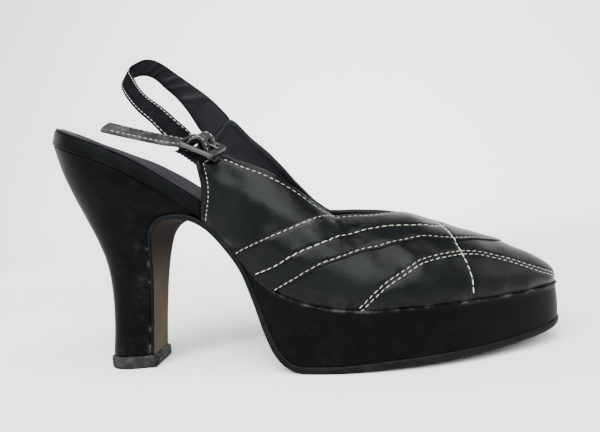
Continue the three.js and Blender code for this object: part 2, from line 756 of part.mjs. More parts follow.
function buckleStrap() {
  const middle = THROUGH_BUCKLE.map((row) => buckledPair(row, STRAP_WIDTH, row.thick));
  const end = LOOSE_END.map((row) => {
    const centre = new THREE.Vector3(row.x, row.y, row.z);
    const half = new THREE.Vector3(row.wx, row.wy, row.wz).normalize().multiplyScalar(STRAP_WIDTH / 2);
    return { low: centre.clone().sub(half), high: centre.clone().add(half), thick: STRAP_WALL };
  });
  const strap = ribbon(smoothPairs([...middle, ...end], 70));
  const slot = slotted(strap, new THREE.Vector3(1.2, -1.2, -1.7), new THREE.Vector3(4.5, 1.2, 3.7));
  return clearOfUpper(slot);
}

function slingStrap() {
  const hook = SLING_HOOK.map((row) => buckledPair(row, STRAP_WIDTH - 0.6, row.thick));
  const loop = SLING.map((row) => ({
    low: new THREE.Vector3(row.lx, row.ly, row.lz),
    high: new THREE.Vector3(row.ux, row.uy, row.uz),
    thick: STRAP_WALL,
  }));
  const strap = ribbon(smoothPairs([...hook, ...loop], 110));
  return slotted(strap, new THREE.Vector3(-3.2, -1.3, -3.8), new THREE.Vector3(3.0, 1.3, 2.9));
}

const elastic = () =>
  clearOfUpper(ribbon(smoothPairs(ELASTIC.map((row) => buckledPair(row, ELASTIC_WIDTH, row.thick)), 20)));

/** Places a flat extrusion, drawn in the buckle's length and a second axis, on the buckle. */
function placeOnBuckle(geometry, second, third) {
  geometry.applyMatrix4(buckleAxes(second, third));
  const p = geometry.attributes.position;
  return outward(weld(Array.from({ length: p.count }, (_, i) => [p.getX(i), p.getY(i), p.getZ(i)])));
}

function buckleFrame() {
  const { length, width, thick, bar, sides, back, plate, corner, bevel } = BUCKLE;
  const [half, side, r] = [length / 2 - bevel, width / 2 - bevel, corner];
  const shape = new THREE.Shape();
  shape.absarc(half - r, -side + r, r, -Math.PI / 2, 0);
  shape.absarc(half - r, side - r, r, 0, Math.PI / 2);
  shape.absarc(-half + r, side - r, r, Math.PI / 2, Math.PI);
  shape.absarc(-half + r, -side + r, r, Math.PI, 1.5 * Math.PI);
  const depth = thick - 2 * bevel;
  const geometry = new THREE.ExtrudeGeometry(shape, {
    depth, bevelEnabled: true, bevelThickness: bevel, bevelSize: bevel, bevelSegments: 1, curveSegments: 5,
  });
  geometry.translate(0, 0, -depth / 2);
  const blank = placeOnBuckle(geometry, BUCKLE.across, BUCKLE.out);
  const reach = width / 2 - sides;
  const window = (from, to, solid) =>
    slotted(solid, new THREE.Vector3(from, -reach, -thick), new THREE.Vector3(to, reach, thick));
  return window(bar / 2, length / 2 - plate, window(back - length / 2, -bar / 2, blank));
}

function buckleProng() {
  const { hole, eye, reach, root, tip, wide } = PRONG;
  const rest = BUCKLE.thick / 2 + GAP;
  const shape = new THREE.Shape();
  shape.absarc(0, 0, eye, 0.42, 2 * Math.PI - 0.1);
  shape.lineTo(reach - 2.2, rest - 0.3);
  shape.lineTo(reach - 1.4, rest);
  shape.lineTo(reach, rest);
  shape.lineTo(reach, rest + 2 * tip);
  shape.lineTo(eye, rest + 2 * root);
  const eyelet = new THREE.Path();
  eyelet.absarc(0, 0, hole, 0, 2 * Math.PI, true);
  shape.holes.push(eyelet);
  const geometry = new THREE.ExtrudeGeometry(shape, { depth: wide, bevelEnabled: false, curveSegments: 14 });
  geometry.translate(0, 0, -wide / 2);
  return placeOnBuckle(geometry, BUCKLE.out, BUCKLE.across.clone().negate());
}

// ---- Assembly -----------------------------------------------------------------------------

const leather = (color, roughness) => new THREE.MeshStandardMaterial({ color, roughness, metalness: 0 });
const gunmetal = new THREE.MeshStandardMaterial({ color: 0x6f706c, roughness: 0.32, metalness: 0.9 });
const blackLeather = leather(0x1b1b1c, 0.42);

const pieces = [
  ['outsole', outsole(), leather(0x9a8468, 0.6)],
  ['platform', platform(), blackLeather],
  ['heel', heel(), blackLeather],
  ['top_piece', topPiece(), leather(0x6d706b, 0.8)],
  ['insole', insole(), leather(0x2a2826, 0.55)],
  ['upper', upper(), blackLeather],
  ['sling_strap', slingStrap(), blackLeather],
  ['elastic', elastic(), leather(0x1c1a22, 0.8)],
  ['buckle_strap', buckleStrap(), leather(0x3a3c3a, 0.55)],
  ['buckle_frame', buckleFrame(), gunmetal],
  ['buckle_prong', buckleProng(), gunmetal],
];

const group = new THREE.Group();
pieces.forEach(([name, geometry, material]) => {
  const mesh = new THREE.Mesh(geometry, material);
  mesh.name = name;
  group.add(mesh);
});

const box = new THREE.Box3().setFromObject(group);
const middle = box.getCenter(new THREE.Vector3());
group.position.set(-middle.x, -middle.y, -box.min.z);

export default group;
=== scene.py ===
# %% [markdown]
# # A slingback platform shoe
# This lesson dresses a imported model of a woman's right shoe: a high block heel, a covered platform,
# a hollow upper, and a sling strap with a small buckle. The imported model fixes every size. Each
# visible surface is worked out again here as a smooth one, in the shoe's own millimetres, from short
# tables of sections, and then it stands for the faceted solid in the same place.

import bpy
import numpy as np
from mathutils import Matrix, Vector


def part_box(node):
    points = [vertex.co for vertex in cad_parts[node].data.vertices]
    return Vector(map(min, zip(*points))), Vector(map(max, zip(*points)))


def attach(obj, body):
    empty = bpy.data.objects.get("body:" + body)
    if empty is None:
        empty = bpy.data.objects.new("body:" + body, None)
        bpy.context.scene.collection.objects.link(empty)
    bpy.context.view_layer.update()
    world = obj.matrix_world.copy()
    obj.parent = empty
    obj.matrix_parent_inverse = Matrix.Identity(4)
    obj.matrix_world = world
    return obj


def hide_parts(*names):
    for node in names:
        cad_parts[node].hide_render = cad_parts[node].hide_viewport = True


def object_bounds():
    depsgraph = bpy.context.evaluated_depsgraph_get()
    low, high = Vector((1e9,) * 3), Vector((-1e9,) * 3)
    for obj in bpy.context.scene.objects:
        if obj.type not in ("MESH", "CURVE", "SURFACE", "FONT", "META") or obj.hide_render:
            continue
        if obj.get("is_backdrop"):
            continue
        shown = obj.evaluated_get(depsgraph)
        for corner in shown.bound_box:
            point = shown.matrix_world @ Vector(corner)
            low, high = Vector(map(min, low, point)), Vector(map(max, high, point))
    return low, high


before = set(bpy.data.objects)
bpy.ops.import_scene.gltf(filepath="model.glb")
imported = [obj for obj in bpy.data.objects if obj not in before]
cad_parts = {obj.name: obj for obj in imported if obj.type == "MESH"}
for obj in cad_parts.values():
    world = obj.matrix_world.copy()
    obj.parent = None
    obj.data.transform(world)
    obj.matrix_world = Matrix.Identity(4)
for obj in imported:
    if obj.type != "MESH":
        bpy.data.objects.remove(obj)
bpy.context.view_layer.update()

# %% [markdown]
# ## The last in tables
# A shoemaker builds on a last, a solid foot form. Its bottom outline, the line where the upper meets
# the sole, and the ribs of the upper wall say everything about the shape. A short table with a row
# for each section is easier to correct than a cloud of points, so all forms come from such tables,
# with a smooth curve through each column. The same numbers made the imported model.

# %% Tables of sections
NEAR, FAR = -1, 1  # outer and inner side of the foot, also the sign of y
MM = 0.001
STEP = 0.01  # in rows: half the gap between the two points that give a curve's direction
CURVE_SAMPLES = 6001  # points worked out on a curve to look it up by its x


def table(names, *rows):
    """A short table: the names of its columns, then one row for each section."""
    return dict(zip(names.split(), np.array(rows, float).T))


OUTLINE = table(
    "x near far bed under",
    (4.4, -9.5, -9.5, 110.1, 103.1),
    (3.0, 0, 0, 110.6, 103.6),
    (4.4, 9.5, 9.5, 110.1, 103.1),
    (8.4, 17.5, 17.5, 108.4, 101.4),
    (15.5, 23.2, 23.2, 105.3, 98.3),
    (25.5, 26.9, 26.8, 100.9, 93.9),
    (37.5, 28.6, 28.2, 95.5, 88.4),
    (50, 28.4, 27.4, 88.3, 81.1),
    (62, 27.0, 25.4, 79.9, 72.4),
    (73, 25.9, 24.2, 71.2, 63.5),
    (83, 26.5, 24.2, 61.2, 52.8),
    (92, 29.4, 26.4, 50.8, 42.6),
    (101, 33.2, 30.0, 42.0, 34.6),
    (112, 37.3, 34.4, 34.2, 29.0),
    (127, 41.0, 38.4, 29.2, 25.8),
    (144, 42.5, 40.0, 28.1, 24.9),
    (161, 41.1, 39.1, 28.0, 24.9),
    (178, 36.4, 36.3, 28.0, 24.9),
    (193, 29.9, 31.4, 28.0, 24.9),
    (205, 23.2, 25.8, 28.0, 24.9),
    (214.8, 15.4, 19.0, 28.0, 24.9),
    (220.2, 7.0, 11.5, 28.0, 24.9),
    (221.8, -2.4, 2.4, 28.0, 24.9),
    (220.2, -11.5, -7.0, 28.0, 24.9),
)
SEAT_BACK = 1  # row at the back of the seat; the first and last rows only steer the curve
TOE_TIP = len(OUTLINE["x"]) - 2

FEATHER = table(  # the line where upper and sole meet
    "x z",
    (70, 66.2), (73, 63.5), (78, 58.2), (84, 50.9), (88, 45.5), (92, 40.3), (98, 35.0),
    (104, 31.4), (112, 28.3), (122, 26.0), (134, 24.8), (146, 24.5), (230, 24.5),
)


# %% Curves from the tables
def curve(rows, name, at):
    """Values of a column between its rows, by the cubic through the four nearest rows a, b, c and d:
    b + t/2 (c - a + t (2a - 5b + 4c - d + t (3b - 3c + d - a)))."""
    values = rows[name]
    ends = np.concatenate([[2 * values[0] - values[1]], values, [2 * values[-1] - values[-2]]])
    at = np.asarray(at, float)
    i = np.clip(np.floor(at).astype(int), 0, len(values) - 2)
    t = at - i
    a, b, c, d = (ends[i + k] for k in range(4))
    return b + 0.5 * t * (c - a + t * (2 * a - 5 * b + 4 * c - d + t * (3 * (b - c) + d - a)))


def row_at(rows, x, first=0, last=None):
    """Row numbers at which a table's rising x column has the given values."""
    samples = np.linspace(first, len(rows["x"]) - 1 if last is None else last, CURVE_SAMPLES)
    return np.interp(x, curve(rows, "x", samples), samples)


def height_of(rows, x):
    """Height of a curve that has x and z columns, never under the ground."""
    return np.maximum(curve(rows, "z", row_at(rows, x)), 0)


def outline(side, at, inset=0.0):
    """Outline points seen from above, moved inwards along the curve's normal, and that normal."""
    half = "near" if side == NEAR else "far"

    def point(row):
        return np.stack([curve(OUTLINE, "x", row), side * curve(OUTLINE, half, row)], -1)

    run = point(at + STEP) - point(at - STEP)
    inward = np.stack([side * run[..., 1], -side * run[..., 0]], -1)
    inward /= np.linalg.norm(inward, axis=-1, keepdims=True)
    return point(at) + np.asarray(inset)[..., None] * inward, inward


def on_outline(x):
    """Row numbers of the outline at given lengths along the shoe."""
    return row_at(OUTLINE, x, SEAT_BACK, TOE_TIP)


seat_low, heel_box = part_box("insole")[0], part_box("heel")
ORIGIN = np.array([OUTLINE["x"][SEAT_BACK] - seat_low.x / MM, -(heel_box[0].y + heel_box[1].y) / 2 / MM, 0])
print("tables' origin lies at", np.round(-ORIGIN, 2), "mm in the frame")

# %% [markdown]
# ## Meshes from arrays
# A surface here is a grid of points from a formula. Two grids that share an edge are welded, and a
# sheet becomes real leather by giving it a wall with a rounded edge, because cut and folded leather
# is never a sharp box. All of this is array work, with no loop over the vertices.


# %% Grids, welds and normals
def grid_faces(rows, columns, flip=False):
    """Four-cornered faces of a grid whose points run row by row."""
    i, j = np.meshgrid(np.arange(rows - 1), np.arange(columns - 1), indexing="ij")
    a = (i * columns + j).ravel()
    faces = np.stack([a, a + columns, a + columns + 1, a + 1], -1)
    return faces[:, ::-1] if flip else faces


def weld(points, faces, *tags):
    """Merges points that lie within a thousandth of a millimetre, and keeps their tags."""
    keys = np.round(points * 1000 + 0.3179).astype(np.int64)
    _, first, new = np.unique(keys, axis=0, return_index=True, return_inverse=True)
    return (points[first], new.reshape(-1)[faces], *(tag[first] for tag in tags))


def joined(*sheets):
    """One mesh from several (points, faces) pairs."""
    points, faces, start = [], [], 0
    for some, corners in sheets:
        points.append(some)
        faces.append(corners + start)
        start += len(some)
    return np.concatenate(points), np.concatenate(faces)


def unit(vectors):
    return vectors / np.maximum(np.linalg.norm(vectors, axis=-1, keepdims=True), 1e-9)


def normals_of(points, faces):
    """Vertex normals: the sum of the crossed diagonals of the faces round each point."""
    corners = points[faces]
    face_normals = np.cross(corners[:, 2] - corners[:, 0], corners[:, 3] - corners[:, 1])
    total = np.zeros_like(points)
    for k in range(4):
        np.add.at(total, faces[:, k], face_normals)
    return unit(total)


def shell(points, faces, wall, outside=0.0):
    """Closed wall behind an open sheet, its edges half round.

    A point p with normal n becomes p + outside n and p + (outside - wall) n. Along an edge with
    outward direction u the rim is c + wall/2 (n cos a + u sin a), where c is the wall's middle and
    a runs from 0 to 180 degrees. Returns points, faces and a mark that is 1 on the inner face.
    """
    normal = normals_of(points, faces)
    count = len(points)
    start, end = faces.ravel(), np.roll(faces, -1, axis=1).ravel()
    keys, back = start * count + end, end * count + start
    rim = (~np.isin(keys, back)) & (start != end)
    start, end = start[rim], end[rim]
    out = np.zeros_like(points)
    side = np.cross(points[end] - points[start], normal[start] + normal[end])
    np.add.at(out, start, side)
    np.add.at(out, end, side)
    edge = np.unique(np.concatenate([start, end]))
    out = unit(out[edge])
    middle = points[edge] + (outside - wall / 2) * normal[edge]
    rings = [
        middle + wall / 2 * (np.cos(a) * normal[edge] + np.sin(a) * out)
        for a in np.radians([40, 90, 140])
    ]
    place = np.full(count, -1)
    place[edge] = np.arange(len(edge))
    layers = [np.arange(count)[edge]]
    layers += [2 * count + k * len(edge) + np.arange(len(edge)) for k in range(3)]
    layers += [count + edge]
    bands = [
        np.stack([low[place[end]], low[place[start]], high[place[start]], high[place[end]]], -1)
        for low, high in zip(layers, layers[1:])
    ]
    all_points = np.concatenate([points + outside * normal, points + (outside - wall) * normal, *rings])
    all_faces = np.concatenate([faces, faces[:, ::-1] + count, *bands])
    inner = np.zeros(len(all_points))
    inner[count:2 * count] = 1
    return all_points, all_faces, inner


def turned_out(points, faces):
    """Flips a closed mesh whose faces point in: its signed volume is then negative."""
    a, b, c, d = (points[faces[:, k]] for k in range(4))
    volume = (a * (np.cross(b, c) + np.cross(c, d))).sum()
    return faces[:, ::-1] if volume < 0 else faces


def tube(rings):
    """Skin through closed rings of points (an array of rings by points by 3), capped and facing out."""
    count, around = rings.shape[:2]
    wrapped = np.concatenate([rings, rings[:, :1]], 1)
    i = np.arange(around // 2 - 1)
    cap = np.stack([i, i + 1, around - 2 - i, around - 1 - i], -1)
    last = (count - 1) * (around + 1)
    faces = np.concatenate([grid_faces(count, around + 1), cap, cap[:, ::-1] + last])
    points, faces = weld(wrapped.reshape(-1, 3), faces)
    return points, turned_out(points, faces)


# %% From arrays to a Blender piece
def put_in_scene(name, data):
    """A new object that holds the given data."""
    thing = bpy.data.objects.new(name, data)
    bpy.context.scene.collection.objects.link(thing)
    return thing


def build_mesh(name, points, faces, materials, tags=None, face_material=None):
    """A smooth mesh object in metres. A face whose corners were welded keeps the corners that are left."""
    faces = faces.tolist() if isinstance(faces, np.ndarray) else faces
    corners = [list(dict.fromkeys(face)) for face in faces]
    keep = [i for i, face in enumerate(corners) if len(face) > 2]
    mesh = bpy.data.meshes.new(name)
    mesh.from_pydata(((points - ORIGIN) * MM).tolist(), [], [corners[i] for i in keep])
    for material in materials:
        mesh.materials.append(material)
    if face_material is not None:
        mesh.polygons.foreach_set("material_index", np.asarray(face_material)[keep].astype(np.int32))
    for tag, values in (tags or {}).items():
        mesh.attributes.new(tag, "FLOAT", "POINT").data.foreach_set("value", values.astype(np.float32))
    mesh.polygons.foreach_set("use_smooth", np.ones(len(mesh.polygons), bool))
    mesh.update()
    return put_in_scene(name, mesh)


def dress(piece, stands_for=()):
    """Lets a piece move with the shoe and, where nodes are named, stand for them."""
    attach(piece, "root")
    if stands_for:
        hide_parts(*stands_for)
    print(f"{piece.name}: {len(piece.data.polygons)} faces")
    return piece


def add_piece(name, points, faces, materials, slot, stands_for=(), **extra):
    return dress(build_mesh(name, points, faces, materials, **extra), stands_for)


# %% [markdown]
# ## Finishes
# Nearly everything here is black leather, so the looks rest on small differences: a fine grain, a
# soft uneven sheen, and paler wear where the shoe rubs. Three colours are painted light: a pale line of
# painted highlight along the platform's top edge, painted shade up the outsole's breast and under the
# arch, and a sock lightened as painted sheen. One node group makes the grain and sheen of every leather
# and one makes scratches, so each material only chooses colours and amounts. The groups read Object
# coordinates, which stay with the shoe, so nothing slides.


# %% Node helpers
def set_inputs(tree, node, inputs):
    """Gives input sockets, by name or number, another node's output, a plain value or a colour."""
    for name, value in inputs.items():
        socket = node.inputs[name]
        if isinstance(value, bpy.types.NodeSocket):
            tree.links.new(value, socket)
        else:
            socket.default_value = (*value, 1) if socket.type == "RGBA" else value


def add_node(tree, kind, inputs, **settings):
    """A node with its settings and its inputs."""
    node = tree.nodes.new(kind)
    for name, value in settings.items():
        setattr(node, name, value)
    set_inputs(tree, node, inputs)
    return node


def ramp(tree, source, low, high, out_low=0.0, out_high=1.0):
    """Spreads the range low..high of a value over out_low..out_high, and stops at both ends."""
    inputs = {0: source, 1: low, 2: high, 3: out_low, 4: out_high}
    return add_node(tree, "ShaderNodeMapRange", inputs).outputs[0]


def mixed(tree, amount, first, second):
    """Colour between two colours; each is a colour or a socket."""
    return add_node(tree, "ShaderNodeMix", {0: amount, 6: first, 7: second}, data_type="RGBA").outputs[2]


def math(tree, operation, first, second=0.0):
    return add_node(tree, "ShaderNodeMath", {0: first, 1: second}, operation=operation).outputs[0]


def noise(tree, place, **inputs):
    return add_node(tree, "ShaderNodeTexNoise", {"Vector": place, **inputs}).outputs[0]


def object_place(tree):
    """Coordinates that stay with the shoe."""
    return tree.nodes.new("ShaderNodeTexCoord").outputs["Object"]


def new_group(name, inputs, outputs):
    """An empty node group with named float inputs and named outputs: its tree, its givens and its end."""
    tree = bpy.data.node_groups.new(name, "ShaderNodeTree")
    for socket, value in inputs.items():
        new = tree.interface.new_socket(socket, in_out="INPUT", socket_type="NodeSocketFloat")
        new.default_value = value
    for socket, kind in outputs.items():
        tree.interface.new_socket(socket, in_out="OUTPUT", socket_type=kind)
    return tree, tree.nodes.new("NodeGroupInput").outputs, tree.nodes.new("NodeGroupOutput")


# %% Leather grain group
def make_grain():
    """Leather: cells pressed into the surface, fine pores, and slow patches of sheen."""
    tree, given, end = new_group(
        "leather_grain",
        {"Cells per metre": 1500.0, "Depth": 0.25, "Sheen patches": 0.1},
        {"Normal": "NodeSocketVector", "Roughness change": "NodeSocketFloat", "Patches": "NodeSocketFloat"},
    )
    place = object_place(tree)
    cells = {"Smoothness": 0.4, "Vector": place, "Scale": given["Cells per metre"]}
    cells = add_node(tree, "ShaderNodeTexVoronoi", cells, feature="SMOOTH_F1").outputs["Distance"]
    pores = noise(tree, place, Scale=4200.0, Detail=3.0)
    patches = noise(tree, place, Scale=55.0, Detail=4.0, Roughness=0.6)
    height = math(tree, "ADD", cells, math(tree, "MULTIPLY", pores, 0.4))
    bump = {"Distance": 0.0002, "Strength": given["Depth"], "Height": height}
    bump = add_node(tree, "ShaderNodeBump", bump)
    slow = ramp(tree, patches, 0.3, 0.7, -1.0, 1.0)
    sheen = math(tree, "MULTIPLY", slow, given["Sheen patches"])
    set_inputs(tree, end, {"Normal": bump.outputs[0], "Roughness change": sheen, "Patches": patches})
    return tree


GRAIN = make_grain()


# %% Scratches group
def make_scratches():
    """Mask of short scratches and rubbed spots: thin ridges of stretched noise, scaled by the given amount,
    which marks wear and, on the platform's top edge, a painted highlight.
    """
    tree, given, end = new_group("scratches", {"Amount": 0.5, "Scale": 300.0}, {"Mask": "NodeSocketFloat"})
    place = object_place(tree)
    turned = add_node(tree, "ShaderNodeMapping",
                      {"Rotation": (0.5, 0.3, 0.9), "Scale": (1, 0.22, 1.6), "Vector": place})
    lines = noise(tree, turned.outputs[0], Detail=5.0, Roughness=0.7, Distortion=0.6, Scale=given["Scale"])
    ridge = math(tree, "ABSOLUTE", math(tree, "SUBTRACT", lines, 0.5))
    thin = ramp(tree, ridge, 0.0, 0.035, 1.0, 0.0)
    spots = noise(tree, place, Scale=160.0, Detail=6.0, Roughness=0.75)
    rub_and_highlight = ramp(tree, spots, 0.5, 0.68)
    scratched = math(tree, "MULTIPLY", thin, ramp(tree, spots, 0.42, 0.6))
    both = math(tree, "MAXIMUM", scratched, rub_and_highlight)
    set_inputs(tree, end, {"Mask": math(tree, "MULTIPLY", both, given["Amount"])})
    return tree


SCRATCHES = make_scratches()


# %% Materials
def principled(name, color, roughness, **plain):
    """A material with its Principled shader; plain values are set on the shader's own sockets."""
    material = bpy.data.materials.new(name)
    material.use_nodes = True
    tree = material.node_tree
    shader = tree.nodes["Principled BSDF"]
    plain = {socket.replace("_", " "): value for socket, value in plain.items()}
    set_inputs(tree, shader, {"Base Color": color, "Roughness": roughness, **plain})
    return material, tree, shader


WEAR_DULLS = 0.25  # how much rougher leather and plating are where they are scratched


def leather(name, color, patch_color, roughness, cells, depth, specular, patches=0.1,
            wear_and_highlight_color=None, scratch_scale=300.0, stain_and_shade_color=None):
    """Leather with grain and uneven sheen. Two mesh tags say where it takes its other colours, if it has
    them: one for rubbed leather and for the painted highlight on the platform's top edge, one for stains and
    nicks and for the painted shade up the outsole's breast."""
    material, tree, shader = principled(name, color, roughness, Specular_IOR_Level=specular)
    grain = add_node(tree, "ShaderNodeGroup", {"Cells per metre": cells, "Depth": depth,
                                               "Sheen patches": patches}, node_tree=GRAIN)
    tint = mixed(tree, ramp(tree, grain.outputs["Patches"], 0.35, 0.65), color, patch_color)
    rough = math(tree, "ADD", grain.outputs["Roughness change"], roughness)
    # on the outsole this tag paints shade, darkening the tan towards its top; on the heel it marks pale nicks
    if stain_and_shade_color:
        stained_and_shaded = add_node(tree, "ShaderNodeAttribute", {}, attribute_name="stain")
        tint = mixed(tree, stained_and_shaded.outputs["Fac"], tint, stain_and_shade_color)
    # this colour is wear, and on the platform's top edge a painted highlight
    if wear_and_highlight_color:
        rub_and_highlight = add_node(tree, "ShaderNodeAttribute", {}, attribute_name="worn").outputs["Fac"]
        scratches = {"Scale": scratch_scale, "Amount": rub_and_highlight}
        mask = add_node(tree, "ShaderNodeGroup", scratches, node_tree=SCRATCHES).outputs["Mask"]
        tint = mixed(tree, mask, tint, wear_and_highlight_color)
        rough = math(tree, "ADD", rough, math(tree, "MULTIPLY", mask, WEAR_DULLS))
    set_inputs(tree, shader, {"Base Color": tint, "Roughness": rough, "Normal": grain.outputs["Normal"]})
    return material


UPPER_LEATHER = leather("upper_leather", (0.0016, 0.0022, 0.0022), (0.0024, 0.0031, 0.003), 0.35,
                        1300, 0.2, 0.08, patches=0.08, wear_and_highlight_color=(0.2, 0.2, 0.19))
LINING = leather("lining_leather", (0.005, 0.0052, 0.0066), (0.0075, 0.0077, 0.0092), 0.42, 900, 0.15, 0.05)
# the cover's pale wear colour also paints the highlight line along the platform's top edge; its stain colour
# marks the heel's nicks
COVER_LEATHER = leather("cover_leather", (0.0011, 0.0014, 0.0016), (0.0016, 0.002, 0.0022), 0.42,
                        1700, 0.12, 0.025, patches=0.04, wear_and_highlight_color=(0.07, 0.072, 0.072),
                        stain_and_shade_color=(0.09, 0.09, 0.085))
STRAP_LEATHER = leather("strap_leather", (0.002, 0.0022, 0.003), (0.003, 0.0032, 0.004), 0.5,
                        1600, 0.25, 0.01, wear_and_highlight_color=(0.1, 0.105, 0.1))
WORN_STRAP = leather("worn_strap", (0.012, 0.0125, 0.013), (0.02, 0.0205, 0.021), 0.55,
                     1600, 0.2, 0.04, wear_and_highlight_color=(0.09, 0.093, 0.09))
# painted sheen: the sock's colour is lighter than its leather, standing for the sheen of a surface seen
# almost edge on, and its own reflection is nearly switched off
SOCK_LEATHER_PAINTED_SHEEN = leather("sock_leather", (0.016, 0.0165, 0.019), (0.028, 0.0285, 0.031), 0.5,
                       1400, 0.2, 0.0004)
# the tan's darker second colour is painted shade for the top of the heel's breast and under the arch
TAN_LEATHER = leather("sole_leather", (0.072, 0.052, 0.036), (0.095, 0.07, 0.05), 0.8,
                      2200, 0.12, 0.02, patches=0.06, stain_and_shade_color=(0.018, 0.014, 0.012))
EDGE_INK = leather("edge_ink", (0.003, 0.0033, 0.0035), (0.005, 0.0053, 0.0055), 0.45,
                   700, 0.25, 0.03, wear_and_highlight_color=(0.06, 0.06, 0.058), scratch_scale=500)
LIFT_RUBBER = leather("lift_rubber", (0.006, 0.0062, 0.0065), (0.013, 0.013, 0.013), 0.65,
                      900, 0.5, 0.08, wear_and_highlight_color=(0.1, 0.1, 0.098), scratch_scale=220)
ELASTIC_CLOTH = leather("elastic_cloth", (0.006, 0.0045, 0.009), (0.01, 0.0075, 0.015), 0.85,
                        2600, 0.6, 0.1)


# %% Thread and metal
def thread(name, color, shade):
    """Waxed sewing thread: uneven in colour, with fine bands across it for its twisted plies."""
    material, tree, shader = principled(name, color, 0.6, Specular_IOR_Level=0.25)
    place = object_place(tree)
    uneven = ramp(tree, noise(tree, place, Scale=900.0, Detail=3.0), 0.35, 0.62)
    plies = add_node(tree, "ShaderNodeTexWave", {"Scale": 1100.0, "Distortion": 1.5, "Vector": place},
                     wave_type="BANDS").outputs[0]
    bump = add_node(tree, "ShaderNodeBump", {"Distance": 0.0001, "Strength": 0.4, "Height": plies})
    set_inputs(tree, shader, {"Base Color": mixed(tree, uneven, shade, color), "Normal": bump.outputs[0]})
    return material


THREAD = thread("cream_thread", (0.46, 0.455, 0.41), (0.28, 0.275, 0.24))
THICK_THREAD = thread("thick_cream_thread", (0.6, 0.56, 0.44), (0.38, 0.34, 0.25))


def metal(name, color, roughness):
    """Plating: fine scratches brighten it and change its gloss."""
    material, tree, shader = principled(name, color, roughness, Metallic=0.85)
    scratches = {"Scale": 700.0, "Amount": 0.6}
    mask = add_node(tree, "ShaderNodeGroup", scratches, node_tree=SCRATCHES).outputs["Mask"]
    bright = tuple(1.5 * c for c in color)
    set_inputs(tree, shader, {"Base Color": mixed(tree, mask, color, bright),
                              "Roughness": ramp(tree, mask, 0, 1, roughness, roughness + WEAR_DULLS)})
    return material


GUNMETAL = metal("gunmetal", (0.05, 0.052, 0.048), 0.36)
print("materials", len(bpy.data.materials))

# %% [markdown]
# ## Camera, floor and light
# The camera stands low beside the outer side of the shoe and is rolled by a few degrees. The floor is
# a wide pale dish that curves up into a wall all round, so no horizon shows from any side. Black
# leather shows only what it mirrors: one broad soft light over the shoe makes the slow highlight on
# the quarter, and the rest stays dim so that the leather stays black.

# %% Camera
CAMERA_PLACE = np.array([122.2, -216.3, 61.6])
YAW, ROLL = np.radians(-2.75), np.radians(5)
FOCAL_SHARE = 0.785  # focal length as a share of the picture's width
SENSOR = 36.0

forward = np.array([np.sin(YAW), np.cos(YAW), 0])
level, upright = np.array([np.cos(YAW), -np.sin(YAW), 0]), np.array([0.0, 0, 1])
right = np.cos(ROLL) * level - np.sin(ROLL) * upright
up = np.sin(ROLL) * level + np.cos(ROLL) * upright

camera = put_in_scene("camera", bpy.data.cameras.new("camera"))
camera.data.sensor_width = SENSOR
camera.data.lens = FOCAL_SHARE * SENSOR
camera.data.clip_start = 0.01
pose = np.eye(4)
pose[:3, 0], pose[:3, 1], pose[:3, 2] = right, up, -forward
pose[:3, 3] = (CAMERA_PLACE - ORIGIN) * MM
camera.matrix_world = Matrix(pose.tolist())
bpy.context.scene.camera = camera


# %% Floor
FLOOR_FLAT, FLOOR_RISE = 1.1, 1.6  # metres: radius of the flat part, and of the curve up to the wall
FLOOR_RINGS, FLOOR_SPOKES = 60, 97

t = np.linspace(0.002, 1, FLOOR_RINGS)[:, None]  # flat up to t = 0.5, then a quarter circle up
rise = np.clip((t - 0.5) * 2, 0, 1) * np.pi / 2
radius = np.minimum(t * 2, 1) * FLOOR_FLAT + FLOOR_RISE * np.sin(rise)
turn = np.linspace(0, 2 * np.pi, FLOOR_SPOKES)
height = FLOOR_RISE * (1 - np.cos(rise)) + 0 * turn
floor_points = np.stack([radius * np.cos(turn), radius * np.sin(turn), height], -1).reshape(-1, 3)
pale, _, _ = principled("pale_floor", (0.8, 0.8, 0.8), 0.9, Specular_IOR_Level=0.1)
floor = build_mesh("floor", *weld(floor_points / MM + ORIGIN, grid_faces(FLOOR_RINGS, FLOOR_SPOKES)), [pale])
floor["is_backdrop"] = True


# %% Lights
def softbox(name, place, target, wide, tall, power, color=(1, 1, 1)):
    """An area light aimed at a point, all in metres."""
    lamp = bpy.data.lights.new(name, "AREA")
    lamp.shape, lamp.size, lamp.size_y, lamp.energy, lamp.color = "RECTANGLE", wide, tall, power, color
    away = unit(np.array(place, float) - np.array(target, float))
    side = unit(np.cross([0.001, 0, 1], away))
    pose = np.eye(4)
    pose[:3, 0], pose[:3, 1], pose[:3, 2], pose[:3, 3] = side, np.cross(away, side), away, place
    put_in_scene(name, lamp).matrix_world = Matrix(pose.tolist())


softbox("front_top", (-0.22, -0.8, 0.72), (0, 0, 0.06), 1.6, 0.64, 43, (0.94, 1, 0.99))
softbox("overhead", (0.05, -0.35, 0.95), (0, 0, 0.05), 0.9, 0.5, 14)
softbox("toe_side", (0.95, -0.15, 0.55), (0, 0, 0.05), 0.6, 0.6, 4)
softbox("heel_side", (-0.9, 0.3, 0.35), (0, 0, 0.08), 0.5, 0.5, 3.5)
softbox("wall_light", (0.1, 0.9, 1.5), (0.1, 2.2, 0.7), 1.6, 1.2, 115)
world = bpy.data.worlds.new("studio")
world.use_nodes = True
sky = world.node_tree.nodes["Background"]
set_inputs(world.node_tree, sky, {"Color": (0.95, 0.97, 1), "Strength": 0.25})
bpy.context.scene.world = world

# %% [markdown]
# ## The upper
# A shoemaker pulls the upper's leather over the last, so its wall has no flat stretch. Each rib of the
# wall is one Bezier curve from the sole line up to the top edge, the throat, the ridge of the vamp or
# the rim of the toe opening. Ribs number 0 to 8 along the quarter, to 13 along the throat, to 17
# along the ridge and to 22 round the toe, and a second number runs up each rib from 0 to 1. Every
# seam and stitch below is placed by this pair of numbers, as on a pattern laid on the leather.

